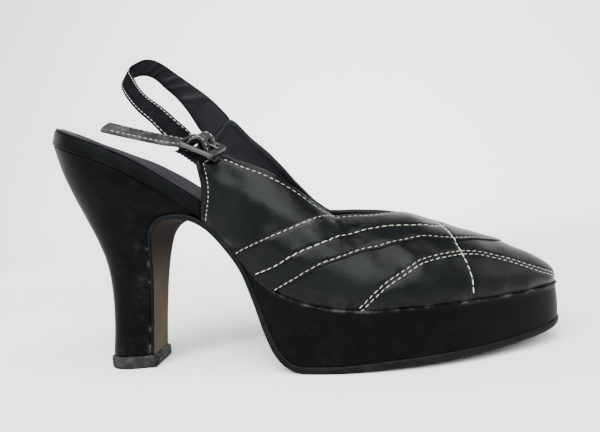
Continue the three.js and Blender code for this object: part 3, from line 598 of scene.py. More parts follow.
# %% Ribs of the upper
QUARTER = {
    NEAR: table(
        "at x y z lean bow",
        (8.97, 74.0, -29.3, 87.3, 82, 1.7),
        (9.5, 79.0, -26.9, 88.8, 78, 1.8),
        (10.1, 84.2, -25.4, 88.6, 76, 1.0),
        (10.8, 91.6, -27.2, 84.8, 74, 0.3),
        (11.6, 99.4, -28.2, 81.2, 68, 0),
        (12.5, 107.0, -27.6, 76.6, 57, 0),
        (13.3, 114.2, -26.0, 71.0, 45, 0),
        (13.8, 120.8, -23.4, 65.2, 34, 0),
        (14.1, 127.0, -20.0, 60.2, 26, 0),
    ),
    FAR: table(
        "at x y z lean bow",
        (8.97, 67.5, 26.5, 103.5, 84, 5.0),
        (9.5, 73.2, 27.0, 108.6, 84, 3.6),
        (10.1, 79.0, 27.2, 113.6, 84, 2.4),
        (10.8, 88.0, 27.8, 103.8, 82, 1.0),
        (11.6, 96.6, 27.8, 95.4, 77, 0),
        (12.5, 104.4, 27.0, 86.4, 68, 0),
        (13.3, 111.6, 25.2, 77.6, 55, 0),
        (13.8, 118.6, 22.2, 69.6, 40, 0),
        (14.1, 126.0, 18.0, 63.0, 28, 0),
    ),
}
THROAT = {
    NEAR: table(
        "at x y z lean bow",
        (14.1, 127.0, -20.0, 60.2, 26, 0),
        (14.6, 134.0, -16.6, 59.9, 22, 0),
        (15.1, 142.0, -13.0, 59.5, 17, 0),
        (15.6, 150.5, -8.6, 59.4, 12, 0),
        (16.0, 157.8, -3.0, 59.1, 5, 0),
        (16.15, 161.0, 3.0, 58.4, 0, 0),
    ),
    FAR: table(
        "at x y z lean bow",
        (14.1, 126.0, 18.0, 63.0, 28, 0),
        (14.6, 133.4, 15.2, 62.3, 22, 0),
        (15.1, 141.4, 12.8, 61.6, 17, 0),
        (15.6, 150.0, 10.4, 60.6, 11, 0),
        (16.0, 157.6, 7.4, 59.3, 5, 0),
        (16.15, 161.0, 3.0, 58.4, 0, 0),
    ),
}
RIDGE = table(
    "at x y z lean bow",
    (16.15, 161.0, 3.0, 58.4, 0, 0),
    (16.7, 171.0, 3.0, 54.5, 0, 0),
    (17.3, 181.0, 2.8, 50.4, 0, 0),
    (18.0, 191.0, 2.5, 46.6, 0, 0),
    (18.6, 199.4, 2.4, 43.2, 0, 0),
)
TOE_HOLE = dict(x=205.4, y=2.4, long=6.0, wide=6.8, back_z=43.2, front_z=37.2, sag=0.5)
TOE = table("at turn lean", (18.6, 0, 0), (19.3, 38, 10), (20.1, 78, 20), (20.8, 112, 28), (21.5, 148, 34),
            (22, 180, 38))
RIB_REACH = 0.39  # handle length of a rib's curve, as a share of its span
FEATHER_FLARE = 0.1  # how much a rib starts outwards over the sole line
UPRIGHT = 6  # a rib that leans in by less than this arrives square to the outline
THROAT_AT, RIDGE_AT, TOE_AT, LAST_RIB = 8, 13, 17, 22
PARTS = np.array([0, THROAT_AT, RIDGE_AT, TOE_AT, LAST_RIB])  # ribs between the parts of the top edge


def rib_ends(side, rib):
    """Foot row, upper end and angles of ribs. Round the toe the end lies on the opening's ellipse."""
    rib = np.asarray(rib, float)
    ends = {name: np.zeros(rib.shape) for name in ("at", "x", "y", "z", "lean", "bow")}
    for rows, first, last in zip((QUARTER[side], THROAT[side], RIDGE), PARTS, PARTS[1:]):
        here = (rib >= first) & (rib <= last)
        for name in ends:
            ends[name][here] = curve(rows, name, rib[here] - first)
    here = rib > TOE_AT
    turn = np.radians(curve(TOE, "turn", rib[here] - TOE_AT))
    hole = TOE_HOLE
    ends["x"][here] = hole["x"] - hole["long"] * np.cos(turn)
    ends["y"][here] = hole["y"] + side * hole["wide"] * np.sin(turn)
    drop = (hole["back_z"] - hole["front_z"]) * (1 - np.cos(turn)) / 2
    ends["z"][here] = hole["back_z"] - drop - hole["sag"] * np.sin(turn)
    for name in ("at", "lean"):
        ends[name][here] = curve(TOE, name, rib[here] - TOE_AT)
    return ends


def rib_point(side, rib, v):
    """Point on one rib: (1-v)^3 foot + 3v (1-v)^2 low + 3v^2 (1-v) high + v^3 end, moved forward by
    bow sin(pi v)."""
    rib, v = np.broadcast_arrays(np.asarray(rib, float), np.asarray(v, float))
    ends = rib_ends(side, rib)
    flat_foot, inward = outline(side, ends["at"])
    foot = np.concatenate([flat_foot, height_of(FEATHER, flat_foot[..., 0])[..., None]], -1)
    end = np.stack([ends["x"], ends["y"], ends["z"]], -1)
    across = end[..., :2] - flat_foot
    flat = np.linalg.norm(across, axis=-1, keepdims=True)
    arrive = np.where(flat > UPRIGHT, across / np.maximum(flat, 1e-6), inward)
    reach = RIB_REACH * np.linalg.norm(end - foot, axis=-1, keepdims=True)
    lean = np.radians(ends["lean"])[..., None]
    low = foot + reach * np.concatenate([-FEATHER_FLARE * inward, np.ones(flat.shape)], -1)
    high = end - reach * np.concatenate([np.cos(lean) * arrive, np.sin(lean)], -1)
    t = v[..., None]
    point = (1 - t) ** 3 * foot + 3 * t * (1 - t) ** 2 * low + 3 * t * t * (1 - t) * high + t ** 3 * end
    point[..., 0] += ends["bow"] * np.sin(np.pi * v)
    return point


EASE = table("rib reach", (0, 0.25), (4, 0.8), (12, 0.8), (15, 0.6), (17, 0.25), (22, 0.2))


def skin(side, rib, v):
    """Point on the upper: the mean of five neighbouring ribs, weights 1 4 6 4 1, so that a corner of the
    top edge fades out over the wall. The neighbours lie reach sin(pi v) apart, which is 0 at both edges."""
    rib, v = np.broadcast_arrays(np.asarray(rib, float), np.asarray(v, float))
    gap = np.interp(rib, EASE["rib"], EASE["reach"]) * np.sin(np.pi * v)
    gap = np.minimum(gap, np.minimum(rib, LAST_RIB - rib) / 2)
    return sum(weight / 16 * rib_point(side, rib + step * gap, v)
               for step, weight in zip((-2, -1, 0, 1, 2), (1, 4, 6, 4, 1)))


def skin_normal(side, rib, v):
    """Outward normal of the skin: the cross product of its two directions."""
    part = np.searchsorted(PARTS[1:-1], rib)
    ahead, behind = np.minimum(rib + 2 * STEP, PARTS[part + 1]), np.maximum(rib - 2 * STEP, PARTS[part])
    along = skin(side, ahead, v) - skin(side, behind, v)
    rising = skin(side, rib, np.minimum(v + STEP, 1)) - skin(side, rib, np.maximum(v - STEP, 0))
    return unit(-side * np.cross(along, rising))


# %% Seams of the pattern
SEAMS = {
    "top_strip": table(  # upper edge of the band over the instep
        "rib v", (2.3, 0), (2.94, 0.16), (3.74, 0.317), (4.58, 0.463), (5.22, 0.567), (6.18, 0.717),
        (7.2, 0.87), (8.0, 0.985)),
    "middle": table(
        "rib v", (3.45, 0.02), (4.64, 0.217), (5.26, 0.333), (6.2, 0.47), (7.82, 0.647), (9.12, 0.717),
        (10.28, 0.737), (11.12, 0.713), (12.24, 0.66), (13.7, 0.683), (14.86, 0.907), (15.2, 1.0)),
    "low_strip": table(
        "rib v", (4.4, 0.005), (5.34, 0.167), (5.98, 0.27), (6.84, 0.373), (8.58, 0.493), (9.64, 0.52),
        (11.26, 0.533), (13.66, 0.513), (15.34, 0.64), (16.7, 0.81)),
    "toe_arc": table(
        "rib v", (8.45, 0.01), (9.3, 0.143), (10.1, 0.233), (11.48, 0.323), (13.36, 0.35), (14.38, 0.397),
        (15.34, 0.4), (16.94, 0.34), (18.54, 0.257), (20.0, 0.14), (21.2, 0.05)),
    "cross": table(
        "rib v", (13.72, 1.0), (13.86, 0.883), (14.02, 0.673), (14.14, 0.433), (14.26, 0.28), (14.32, 0.133),
        (14.28, 0.012)),
}


def along_seam(name, count=400):
    """Rib numbers and rises of evenly spread points of a seam."""
    rows = SEAMS[name]
    at = np.linspace(0, len(rows["rib"]) - 1, count)
    return curve(rows, "rib", at), np.clip(curve(rows, "v", at), 0, 1)


def shifted(side, rib, v, millimetres):
    """The same line moved up (or, if negative, down) its ribs by a distance over the leather."""
    above, below = (skin(side, rib, np.clip(v + step, 0, 1)) for step in (STEP, -STEP))
    rate = np.where((v < STEP) | (v > 1 - STEP), STEP, 2 * STEP)
    return rib, np.clip(v + millimetres * rate / np.linalg.norm(above - below, axis=-1), 0, 1)


for seam in SEAMS:
    run = skin(NEAR, *along_seam(seam))
    print(seam, "is", round(float(np.linalg.norm(np.diff(run, axis=0), axis=-1).sum())), "mm long")

# %% [markdown]
# ## Relief on the leather
# Pulled leather isn't a clean surface. It sinks along every row of stitches, tucks in where it goes
# under the sole, folds a little across the ball of the foot, and is slightly uneven everywhere. These
# are real heights on a fine grid, because a bump map wouldn't show at the edges. A trough is
# -depth exp(-(d / width)^2) at distance d from its line.

# %% Distances and relief
STITCH_TROUGH, TROUGH_WIDTH = 0.28, 0.8
TUCK, TUCK_HEIGHT = 0.55, 1.3  # how far the leather turns in at the sole line, and how high that shows
CREASES = table(  # soft folds: from one place on the pattern to another, with width and depth in mm
    "side rib v rib_end v_end width depth",
    (NEAR, 0.8, 0.60, 3.4, 0.47, 5.0, 0.50),
    (NEAR, 3.3, 0.45, 6.3, 0.60, 4.5, 0.45),
    (NEAR, 1.2, 0.88, 3.2, 0.74, 3.2, 0.30),
    (NEAR, 5.2, 0.50, 6.9, 0.30, 3.2, 0.35),
    (NEAR, 7.6, 0.80, 8.8, 0.62, 3.2, 0.35),
    (NEAR, 8.9, 0.62, 10.3, 0.30, 3.8, 0.50),
    (NEAR, 9.9, 0.42, 11.2, 0.14, 3.4, 0.42),
    (NEAR, 11.6, 0.46, 12.9, 0.20, 3.6, 0.40),
    (NEAR, 14.6, 0.30, 16.4, 0.16, 3.6, 0.30),
    (FAR, 8.9, 0.62, 10.3, 0.30, 3.8, 0.45),
    (FAR, 10.6, 0.50, 11.9, 0.20, 3.4, 0.40),
    (FAR, 3.0, 0.70, 5.0, 0.50, 4.0, 0.35),
)


def distance_to(points, path):
    """Distance from every point to the nearest point of a finely sampled path."""
    squares = (points ** 2).sum(-1)[:, None] - 2 * points @ path.T + (path ** 2).sum(-1)
    return np.sqrt(np.maximum(squares.min(1), 0))


def uneven(points):
    """Slow swells of about a tenth of a millimetre: three crossed sine waves."""
    x, y, z = points.T
    crossed = np.sin(x / 3.9 + z / 5.1) * np.sin(z / 3.1 - y / 6.0)
    return 0.10 * crossed + 0.07 * np.sin(x / 2.3 - z / 4.2 + 1.0)


def relief(points, rows):
    """Height to add to leather whose stitch rows are given as paths. A crease has a trough, and beside it
    a low ridge, and fades out at both ends."""
    lift = uneven(points)
    for path in rows:
        lift -= STITCH_TROUGH * np.exp(-((distance_to(points, path) / TROUGH_WIDTH) ** 2))
    for side, rib, v, rib_end, v_end, width, depth in zip(*CREASES.values()):
        t = np.linspace(0, 1, 60)
        line = skin(side, rib + (rib_end - rib) * t, v + (v_end - v) * t + 0.03 * np.sin(np.pi * t))
        ends = distance_to(points, line[[0, -1]]) / np.linalg.norm(line[-1] - line[0])
        fade = np.clip(2.2 * ends, 0, 1)
        gap = distance_to(points, line) / width
        lift -= depth * fade * (np.exp(-gap ** 2) - 0.45 * np.exp(-((gap - 1.7) ** 2)))
    return lift


# %% Stitch rows on the pattern
EDGE_ROW = 1.4  # distance of a stitch row from the edge that it holds, in mm
TWIN_ROW = 1.7  # between the two rows of the toe arc
QUARTER_HEIGHT = 62  # of the quarter's back edge, in mm


def quarter_back_row(side, count=200):
    """Row of stitches up the quarter's back edge, at an equal distance from it."""
    v = np.linspace(0.01, 1 - EDGE_ROW / QUARTER_HEIGHT, count)
    rate = np.linalg.norm(skin(side, 0.3 + 0 * v, v) - skin(side, 0 * v, v), axis=-1) / 0.3
    return 1.5 * EDGE_ROW / rate, v


def edge_row(side, first, last, count=300):
    """Row of stitches just below the upper's top edge, from one rib to another."""
    rib = np.linspace(first, last, count)
    return shifted(side, rib, np.ones(count), -EDGE_ROW)


def seam_rows(side):
    """All stitch rows of one side: name, rib numbers, rises, and whether they lie on the band."""
    rows = [
        ("back", *quarter_back_row(side), False),
        ("top", *edge_row(side, 0.45, 7.75), False),
        ("throat", *edge_row(side, 8.05, RIDGE_AT), True),
        ("toe_rim", *edge_row(side, 17.2, LAST_RIB), False),
        ("toe_arc", *along_seam("toe_arc"), False),
        ("toe_arc_2", *shifted(side, *along_seam("toe_arc"), -TWIN_ROW), False),
    ]
    rows += [(name, *along_seam(name), True) for name in ("top_strip", "middle", "low_strip", "cross")]
    return rows


ROWS = {side: seam_rows(side) for side in (NEAR, FAR)}
ROW_PATHS = [skin(side, rib, v) for side in (NEAR, FAR) for _, rib, v, _ in ROWS[side]]
print("stitch rows", len(ROW_PATHS))

# %% [markdown]
# ## The upper and its band
# The upper is one hollow shell, 1.8 mm thick, open at the top and underneath. A fine grid of ribs makes
# the outer face, the relief moves it, and the shell function gives it the lining's face and a half
# round rim. Over it lies the band: one strip of leather on each side, which starts at the sole line,
# crosses the instep, joins its twin on the ridge and ends at the toe opening. Its folded edges stand
# 0.6 mm proud, which is what draws the two dark lines beside the stitches.

# %% Upper
UPPER_WALL = 1.8
WORN_HEIGHT = 2.5  # how high above the sole line the upper is rubbed
RIB_COUNTS = (85, 49, 53, 71)  # ribs of the grid in each part of the top edge
RIBS = np.concatenate([np.linspace(*part)[:-1] for part in zip(PARTS, PARTS[1:], RIB_COUNTS)] + [[LAST_RIB]])
RISE = np.linspace(0, 1, 89)


def two_sided(grid_of_side):
    """The near and the far grid of a sheet in one mesh, with both facing outwards."""
    grids = [(side, grid_of_side(side)) for side in (NEAR, FAR)]
    return joined(*((grid.reshape(-1, 3), grid_faces(*grid.shape[:2], side == FAR)) for side, grid in grids))


def upper_shell():
    points, faces = two_sided(lambda side: skin(side, RIBS[:, None], RISE[None]))
    spans = np.linalg.norm(skin(NEAR, RIBS, 1) - skin(NEAR, RIBS, 0), axis=-1)
    rise = np.tile(spans[:, None] * RISE, (2, 1)).ravel()
    points, faces, rise = weld(points, faces, rise)
    lift = relief(points, ROW_PATHS) - TUCK * np.exp(-((rise / TUCK_HEIGHT) ** 2))
    points = points + lift[:, None] * normals_of(points, faces)
    return (*shell(points, faces, UPPER_WALL), len(faces))


points, faces, inner, sheet = upper_shell()
is_lining = np.zeros(len(faces), int)
is_lining[sheet:2 * sheet] = 1
near_sole = np.exp(-np.maximum(points[:, 2] - height_of(FEATHER, points[:, 0]), 0) / WORN_HEIGHT)
add_piece("upper_leather", points, faces, [UPPER_LEATHER, LINING], "black_leather", ["upper"],
          tags={"worn": 0.1 * near_sole * (1 - inner)}, face_material=is_lining)


# %% Band over the instep
BAND_HEIGHT, BAND_WALL, THROAT_HEIGHT = 0.6, 1.0, 59
BAND = table(  # lower and upper edge of the band on the pattern
    "low_rib low_v high_rib high_v",
    (4.35, 0.0, 2.15, 0.0),
    (5.34, 0.149, 2.94, 0.178),
    (5.98, 0.252, 3.74, 0.335),
    (6.84, 0.356, 4.9, 0.53),
    (8.58, 0.475, 6.5, 0.78),
    (9.64, 0.502, 8.0, 1.0),
    (11.26, 0.515, 10.4, 1.0),
    (13.66, 0.493, 13.0, 1.0),
    (15.34, 0.617, 15.0, 1.0),
    (16.7, 0.785, 16.4, 1.0),
    (17.35, 1.0, 17.0, 1.0),
)


def band_sheet(side, rows=260, columns=46):
    """Grid over the band: the straight mix, on the pattern, of its lower and its upper edge."""
    s = np.linspace(0, len(BAND["low_rib"]) - 1, rows)[:, None]
    t = np.linspace(0, 1, columns)[None]
    rib = curve(BAND, "low_rib", s) * (1 - t) + curve(BAND, "high_rib", s) * t
    v = np.clip(curve(BAND, "low_v", s) * (1 - t) + np.clip(curve(BAND, "high_v", s), 0, 1) * t, 0, 1)
    return skin(side, rib, v)


points, faces = weld(*two_sided(band_sheet))
points = points + relief(points, ROW_PATHS)[:, None] * normals_of(points, faces)
points, faces, inner = shell(points, faces, BAND_WALL, BAND_HEIGHT)
edge_wear = 0.175 * np.exp(-np.abs(points[:, 2] - THROAT_HEIGHT) / 2) * (1 - inner)
add_piece("instep_band", points, faces, [UPPER_LEATHER], "black_leather", tags={"worn": edge_wear})

# %% [markdown]
# ## Stitches
# Each stitch is a short length of waxed thread that rises out of one needle hole and dips into the
# next. One small form, an arched capsule, is copied along every row as a single array: its own x runs
# along the seam, y across it and z out of the leather. A seeded random turn and length keep them from
# looking printed.

# %% Stitch form and rows
ROUND, LENGTHWISE = 6, 5  # points round a stitch, and rings along it
ARCH, SUNK, FLATNESS = 0.22, 0.12, 0.7  # of a stitch: its rise, its depth in the leather and its thickness
CHANCE = np.random.default_rng(7)


def stitch_form():
    """Arched capsule of length 1 and width 1: radius (1 - u^4)^(1/2) / 2 and height (1 - u^2), where u runs
    from -1 to 1."""
    u = np.linspace(-0.96, 0.96, LENGTHWISE)[:, None]
    turn = np.arange(ROUND) * 2 * np.pi / ROUND
    radius = 0.5 * np.sqrt(1 - u ** 4)
    form = np.stack([0.5 * u + 0 * turn, radius * np.cos(turn), radius * np.sin(turn)], -1)
    ring = np.arange(ROUND)
    pairs = [(i * ROUND, k, (k + 1) % ROUND) for i in range(LENGTHWISE - 1) for k in ring]
    faces = [[i + k, i + after, i + ROUND + after, i + ROUND + k] for i, k, after in pairs]
    caps = [ring[::-1].tolist(), (ring + (LENGTHWISE - 1) * ROUND).tolist()]
    return form.reshape(-1, 3), np.repeat(1 - u[:, 0] ** 2, ROUND), faces + caps


def row_of_stitches(path, normals, pitch, length, width):
    """Corner points of the stitches of one row, an array of stitches by points by 3."""
    reach = np.concatenate([[0], np.cumsum(np.linalg.norm(np.diff(path, axis=0), axis=-1))])
    middle = np.arange(pitch / 2, reach[-1] - pitch / 2, pitch)
    size = length * CHANCE.uniform(0.88, 1.08, len(middle))

    def at(distance, values):
        return np.stack([np.interp(distance, reach, values[:, k]) for k in range(3)], -1)

    start, end = at(middle - size / 2, path), at(middle + size / 2, path)
    normal = unit(at(middle, normals))
    along = unit(end - start)
    across = np.cross(normal, along)
    skew = CHANCE.uniform(-0.02, 0.16, len(middle))[:, None]
    along, across = unit(along + skew * across), unit(across - skew * along)
    form, rise, _ = stitch_form()
    lift = ARCH * width * rise - SUNK * width
    return (at(middle, path)[:, None] + form[None, :, :1] * (size[:, None] * along)[:, None]
            + form[None, :, 1:2] * width * across[:, None]
            + (form[None, :, 2:] * FLATNESS * width + lift[None, :, None]) * normal[:, None])


def add_stitches(name, rows, material, slot="black_leather"):
    """One mesh of all the stitches in a list of rows."""
    stitches = np.concatenate(rows)
    count, size = stitches.shape[:2]
    form_faces = stitch_form()[2]
    faces = [[corner + k * size for corner in face] for k in range(count) for face in form_faces]
    add_piece(name, stitches.reshape(-1, 3), faces, [material], slot)


# %% Stitch the upper
SMALL, LONG, THICK = (2.6, 1.95, 0.29), (3.1, 2.6, 0.36), (2.9, 2.6, 0.48)  # pitch, length, width in mm
STITCH_SIZE = {"middle": LONG, "cross": THICK, "back": (1.9, 1.4, 0.27)}  # the other rows are small
BAND_STARTS = 0.49  # height on the ribs of the band's lower edge, where the cross seam meets it


def stitches_on_skin(side, rib, v, on_band, size):
    normal, path = skin_normal(side, rib, v), skin(side, rib, v)
    lift = relief(path, []) - STITCH_TROUGH + np.where(on_band, BAND_HEIGHT, 0)
    return row_of_stitches(path + lift[:, None] * normal, normal, *size)


fine, thick = [], []
for side in (NEAR, FAR):
    for name, rib, v, on_band in ROWS[side]:
        on_band = v > BAND_STARTS if name == "cross" else on_band
        row = stitches_on_skin(side, rib, v, on_band, STITCH_SIZE.get(name, SMALL))
        (thick if name in ("cross", "middle") else fine).append(row)
add_stitches("upper_stitches", fine, THREAD)
add_stitches("thick_stitches", thick, THICK_THREAD)

# %% [markdown]
# ## The sole unit
# Under the upper are four pieces: the outsole, one sheet of leather that runs from the heel's breast
# under the arch and along the tread; the covered platform; the covered heel; and its replaceable top
# piece. Each is a ring of points carried along the shoe. Edges are rounded by the ring itself, and a
# seam between two covered pieces is simply the small gap between two round edges.

# %% Sections of the sole
SOLE = table(  # ground side of the outsole sheet, from the heel's tip over the arch to the tread
    "x z thick near far",
    (41.9, 5.5, 1.4, 10.0, 10.0),
    (43.4, 22, 1.4, 10.1, 10.1),
    (45.0, 38, 1.4, 11.4, 11.4),
    (46.6, 51, 1.6, 14.4, 14.4),
    (48.6, 59.3, 2.0, 18.0, 17.8),
    (53.0, 63.8, 2.3, 21.0, 20.4),
    (60.5, 64.7, 2.4, 23.6, 22.4),
    (67.5, 63.2, 2.4, 24.8, 23.0),
    (74.0, 58.8, 2.4, 25.2, 23.2),
    (80.5, 50.9, 2.4, 25.6, 23.4),
    (86.4, 41.6, 2.4, 26.9, 24.4),
    (90.6, 30.0, 2.6, 28.1, 25.1),
    (94.8, 15.8, 2.8, 29.6, 26.5),
    (98.6, 7.0, 3.0, 31.0, 27.6),
    (103.6, 1.9, 3.0, 32.5, 29.2),
    (110, 0, 3.0, 34.3, 31.1),
    (118, 0, 3.0, 35.9, 33.0),
)
TREAD = table(  # ground side in front of that, and how far it stands in from the upper's edge
    "x z inset",
    (103.6, 0, 1.7), (110, 0, 2.2), (120, 0, 3.1), (124, 0, 3.4), (130, 0.4, 3.7), (137, 0.9, 3.9),
    (145, 1.5, 4.0), (154, 1.9, 4.0), (165, 2.4, 3.8), (178, 2.9, 3.3), (188, 3.5, 2.7), (198, 4.5, 1.8),
    (206, 5.3, 0.9), (212, 6.1, 0.3), (217, 6.9, 0), (223, 7.6, 0),
)
TREAD_THICK, TREAD_STARTS = 3.0, 114
SEAM = 0.06  # open line between two covered pieces


def sole_at(row, depth):
    """Point of the sheet's section at a depth through its thickness, square to its ground side."""
    dx, dz = (curve(SOLE, name, row + 2 * STEP) - curve(SOLE, name, row - 2 * STEP) for name in "xz")
    length = np.hypot(dx, dz)
    x, z = curve(SOLE, "x", row), np.maximum(curve(SOLE, "z", row), 0)
    return x - dz * depth / length, z + dx * depth / length


def half_width(side, row):
    return curve(SOLE, "near" if side == NEAR else "far", row)


def tread_inset(side, at):
    return curve(TREAD, "inset", row_at(TREAD, outline(side, at)[0][..., 0]))


def smooth_step(value, low, high):
    t = np.clip((value - low) / (high - low), 0, 1)
    return t * t * (3 - 2 * t)


# %% Outsole
EDGE_TURN = np.radians(np.linspace(0, 180, 9))
EDGE_ROUND, FLAT_MARGIN = 0.7, 3.0
SHEET_RINGS, TREAD_RINGS = 170, 130


def outsole_side(side):
    """Half rings of the outsole, ground side first: depth thick (1 - cos a) / 2, inset round (1 - sin a)."""
    depth = np.concatenate([[0], (1 - np.cos(EDGE_TURN)) / 2, [1]])[None]
    inset = np.concatenate([[FLAT_MARGIN], EDGE_ROUND * (1 - np.sin(EDGE_TURN)), [FLAT_MARGIN]])[None]
    row = np.linspace(0, len(SOLE["x"]) - 2, SHEET_RINGS)[:, None]
    x, z = sole_at(row, depth * curve(SOLE, "thick", row))
    sheet = np.stack([x, side * (half_width(side, row) - inset), z + 0 * inset], -1)
    at = np.linspace(on_outline(TREAD_STARTS), TOE_TIP, TREAD_RINGS)[:, None]
    flat, _ = outline(side, at + 0 * inset, tread_inset(side, at) + inset)
    tread = np.concatenate([flat, (height_of(TREAD, flat[..., 0]) + depth * TREAD_THICK)[..., None]], -1)
    return np.concatenate([sheet, tread])


rings = np.concatenate([outsole_side(NEAR), outsole_side(FAR)[:, ::-1]], 1)
points, faces = tube(rings)
around = rings.shape[1]
column = np.tile(np.arange(around), len(rings) - 1)
inked = np.ones(len(faces), int)  # all but the ground side, which stays tan
inked[:len(column)] = ~np.isin(column, [0, around - 2, around - 1])
# painted shade: the tan darkens from 25 mm up and is darkest above 62 mm, over the top of the breast and
# under the arch
add_piece("outsole_leather", points, faces, [TAN_LEATHER, EDGE_INK], "sole_leather", ["outsole"],
          tags={"worn": np.full(len(points), 0.08), "stain": smooth_step(points[:, 2], 25, 62)},
          face_material=inked)


# %% Platform
PLATFORM_BACK_ROW, PLATFORM_TURN_ROW = 10.35, len(SOLE["x"]) - 3
PLATFORM_TOP_X, PLATFORM_TOP_TURN, PLATFORM_INSET = 89.2, 108, 0.4
WALL_BULGE, PLATFORM_LIP, WALL_OUT = 0.3, 0.85, 0.3
LOW_ROUND, HIGH_ROUND, LIP_WIDTH = 0.4, 0.7, 1.3


def platform_edges(side):
    """Bottom and top line of the platform's wall: down its back, then along the outline to the toe."""
    share = np.linspace(0, 1, 60)
    row = PLATFORM_BACK_ROW + (PLATFORM_TURN_ROW - PLATFORM_BACK_ROW) * share
    x, z = sole_at(row, curve(SOLE, "thick", row) + SEAM)
    back = np.stack([x, side * (half_width(side, row) + WALL_OUT), z], -1)
    top_x = PLATFORM_TOP_X + (PLATFORM_TOP_TURN - PLATFORM_TOP_X) * share
    top, _ = outline(side, on_outline(top_x), PLATFORM_INSET)
    at = np.linspace(on_outline(PLATFORM_TOP_TURN + 0.4), TOE_TIP, 170)
    bottom, _ = outline(side, at, tread_inset(side, at) + WALL_OUT)
    front, _ = outline(side, at, PLATFORM_INSET)
    ground = np.where(bottom[:, 0] < 110, height_of(SOLE, bottom[:, 0]), height_of(TREAD, bottom[:, 0]))
    low = np.concatenate([back, np.concatenate([bottom, (ground + TREAD_THICK + SEAM)[:, None]], -1)])
    flat = np.concatenate([top, front])
    high = np.concatenate([flat, (height_of(FEATHER, flat[:, 0]) - SEAM)[:, None]], -1)
    return low, high


def platform_side(side, count=28):
    """Wall from its low to its high line, r - sqrt(r^2 - (r - d)^2) in at a distance d from each edge. Its
    upper edge stands out by lip exp(-(d / width)^2)."""
    low, high = platform_edges(side)
    along = np.gradient(high, axis=0)
    outwards = unit(np.stack([-side * along[:, 1], side * along[:, 0], 0 * along[:, 0]], -1))
    share = (1 - np.cos(np.linspace(0, np.pi, count))) / 2
    length = np.linalg.norm(high - low, axis=-1)[:, None]
    lip = PLATFORM_LIP * np.exp(-(((1 - share) * length) / LIP_WIDTH) ** 2)
    inset = -WALL_BULGE * np.sin(np.pi * share)[None] - lip
    for distance, r in ((share * length, LOW_ROUND), ((1 - share) * length, HIGH_ROUND)):
        inset = inset + np.where(distance < r, r - np.sqrt(np.maximum(r ** 2 - (r - distance) ** 2, 0)), 0)
    return low[:, None] + (high - low)[:, None] * share[None, :, None] - inset[..., None] * outwards[:, None]


rings = np.concatenate([platform_side(NEAR), platform_side(FAR)[:, ::-1]], 1)
points, faces = tube(rings)
# painted highlight: a thin pale line along the platform's top edge, drawn with the wear colour
painted_edge_highlight = np.exp(-((points[:, 2] + 0.5 - height_of(FEATHER, points[:, 0])) / 0.45) ** 2)
add_piece("platform_cover", points, faces, [COVER_LEATHER], "black_leather", ["platform"],
          tags={"worn": 0.02 + 0.85 * painted_edge_highlight})


# %% Heel
HEEL = table(  # a row for each level: back edge, outsole row at its front edge, half widths
    "backX backZ front wide breast",
    (20.5, 5.5, 0, 10.2, 9.8),
    (22.0, 20, 0.9, 10.2, 9.9),
    (22.4, 34, 1.75, 10.8, 10.6),
    (21.4, 47, 2.65, 12.8, 12.4),
    (18.8, 57.5, 3.6, 16.2, 15.6),
    (14.7, 68.5, 4.6, 20.2, 18.8),
    (10.0, 80, 5.5, 24.0, 21.6),
    (6.0, 91.5, 6.9, 26.8, 23.8),
)
HEEL_SEAT = dict(back=3.6, front=68, wide=28.2, breast=24.8)
HEEL_ROUND = 0.55  # share of the heel's length taken by its round back
AROUND = 54  # points of half a ring
LOW_POWER, HIGH_POWER, SEAT_POWER = 0.46, 0.43, 0.39  # smaller is squarer: up the back, near the top, seat


def heel_ring(back, front, wide, breast, height_at, power=LOW_POWER):
    """Ring at one level: half width (1 - (1 - v / round)^2)^power, narrowed to the breast in front."""
    v = 1 - np.cos(np.linspace(0, 1, AROUND) * np.pi / 2)
    shape = (1 - np.maximum(1 - v / HEEL_ROUND, 0) ** 2) ** power
    taper = 1 + (breast / wide - 1) * smooth_step(v, 0.8 * HEEL_ROUND, 1)
    x = back + (front - back) * v
    near = np.stack([x, -wide * shape * taper, height_at(x, v)], -1)
    return np.concatenate([near, (near * [1, -1, 1])[::-1]])


def heel_rings():
    rings = []
    for level, (back_x, back_z, row, wide, breast) in enumerate(zip(*HEEL.values()), 1):
        front_x, front_z = sole_at(row, curve(SOLE, "thick", row) + SEAM)
        rings.append(heel_ring(back_x, front_x, wide, breast, lambda x, v: back_z + (front_z - back_z) * v,
                               HIGH_POWER if level == len(HEEL["wide"]) else LOW_POWER))
    rings.append(heel_ring(**HEEL_SEAT, height_at=lambda x, v: curve(OUTLINE, "under", on_outline(x)) - SEAM,
                           power=SEAT_POWER))
    return np.array(rings)


levels = heel_rings()
rows_at = np.concatenate([np.linspace(0, 7.9, 150), [7.95, 7.985, 8.0]])
flat_rings = {str(k): levels.reshape(len(levels), -1)[:, k] for k in range(levels[0].size)}
rings = np.stack([curve(flat_rings, key, rows_at) for key in flat_rings], -1).reshape(len(rows_at), -1, 3)
centre = rings.mean(1, keepdims=True)
for ring, inset in ((0, 0.5), (1, 0.15), (-1, 0.9), (-2, 0.3)):
    rings[ring] -= inset * unit((rings[ring] - centre[ring]) * [1, 1, 0])
points, faces = tube(rings)
x, y, z = points.T
front_edge = np.exp(-((x - 41) / 2.5) ** 2) * (y < 0) * np.exp(-np.abs(z - 35) / 22)
low_edge = np.exp(-np.maximum(z - HEEL["backZ"][0], 0) / 5)
NICKS = table("z size", (53, 0.7), (46.5, 1.0), (45, 0.4), (38.2, 0.5), (17, 0.6), (9.3, 0.8), (7.6, 0.5))
nicks = sum(size * np.exp(-((z - at) / (0.3 + 0.4 * size)) ** 2) for at, size in zip(*NICKS.values()))
nicks = np.minimum(nicks, 1) * np.exp(-(distance_to(points, rings[:, AROUND - 1]) / 0.6) ** 2)
add_piece("heel_cover", points, faces, [COVER_LEATHER], "black_leather", ["heel"],
          tags={"worn": 0.02 + 0.17 * front_edge + 0.14 * low_edge, "stain": nicks})


# %% Top piece
LIFT_HEIGHT, LIFT_OVERHANG = 5.2, 0.8


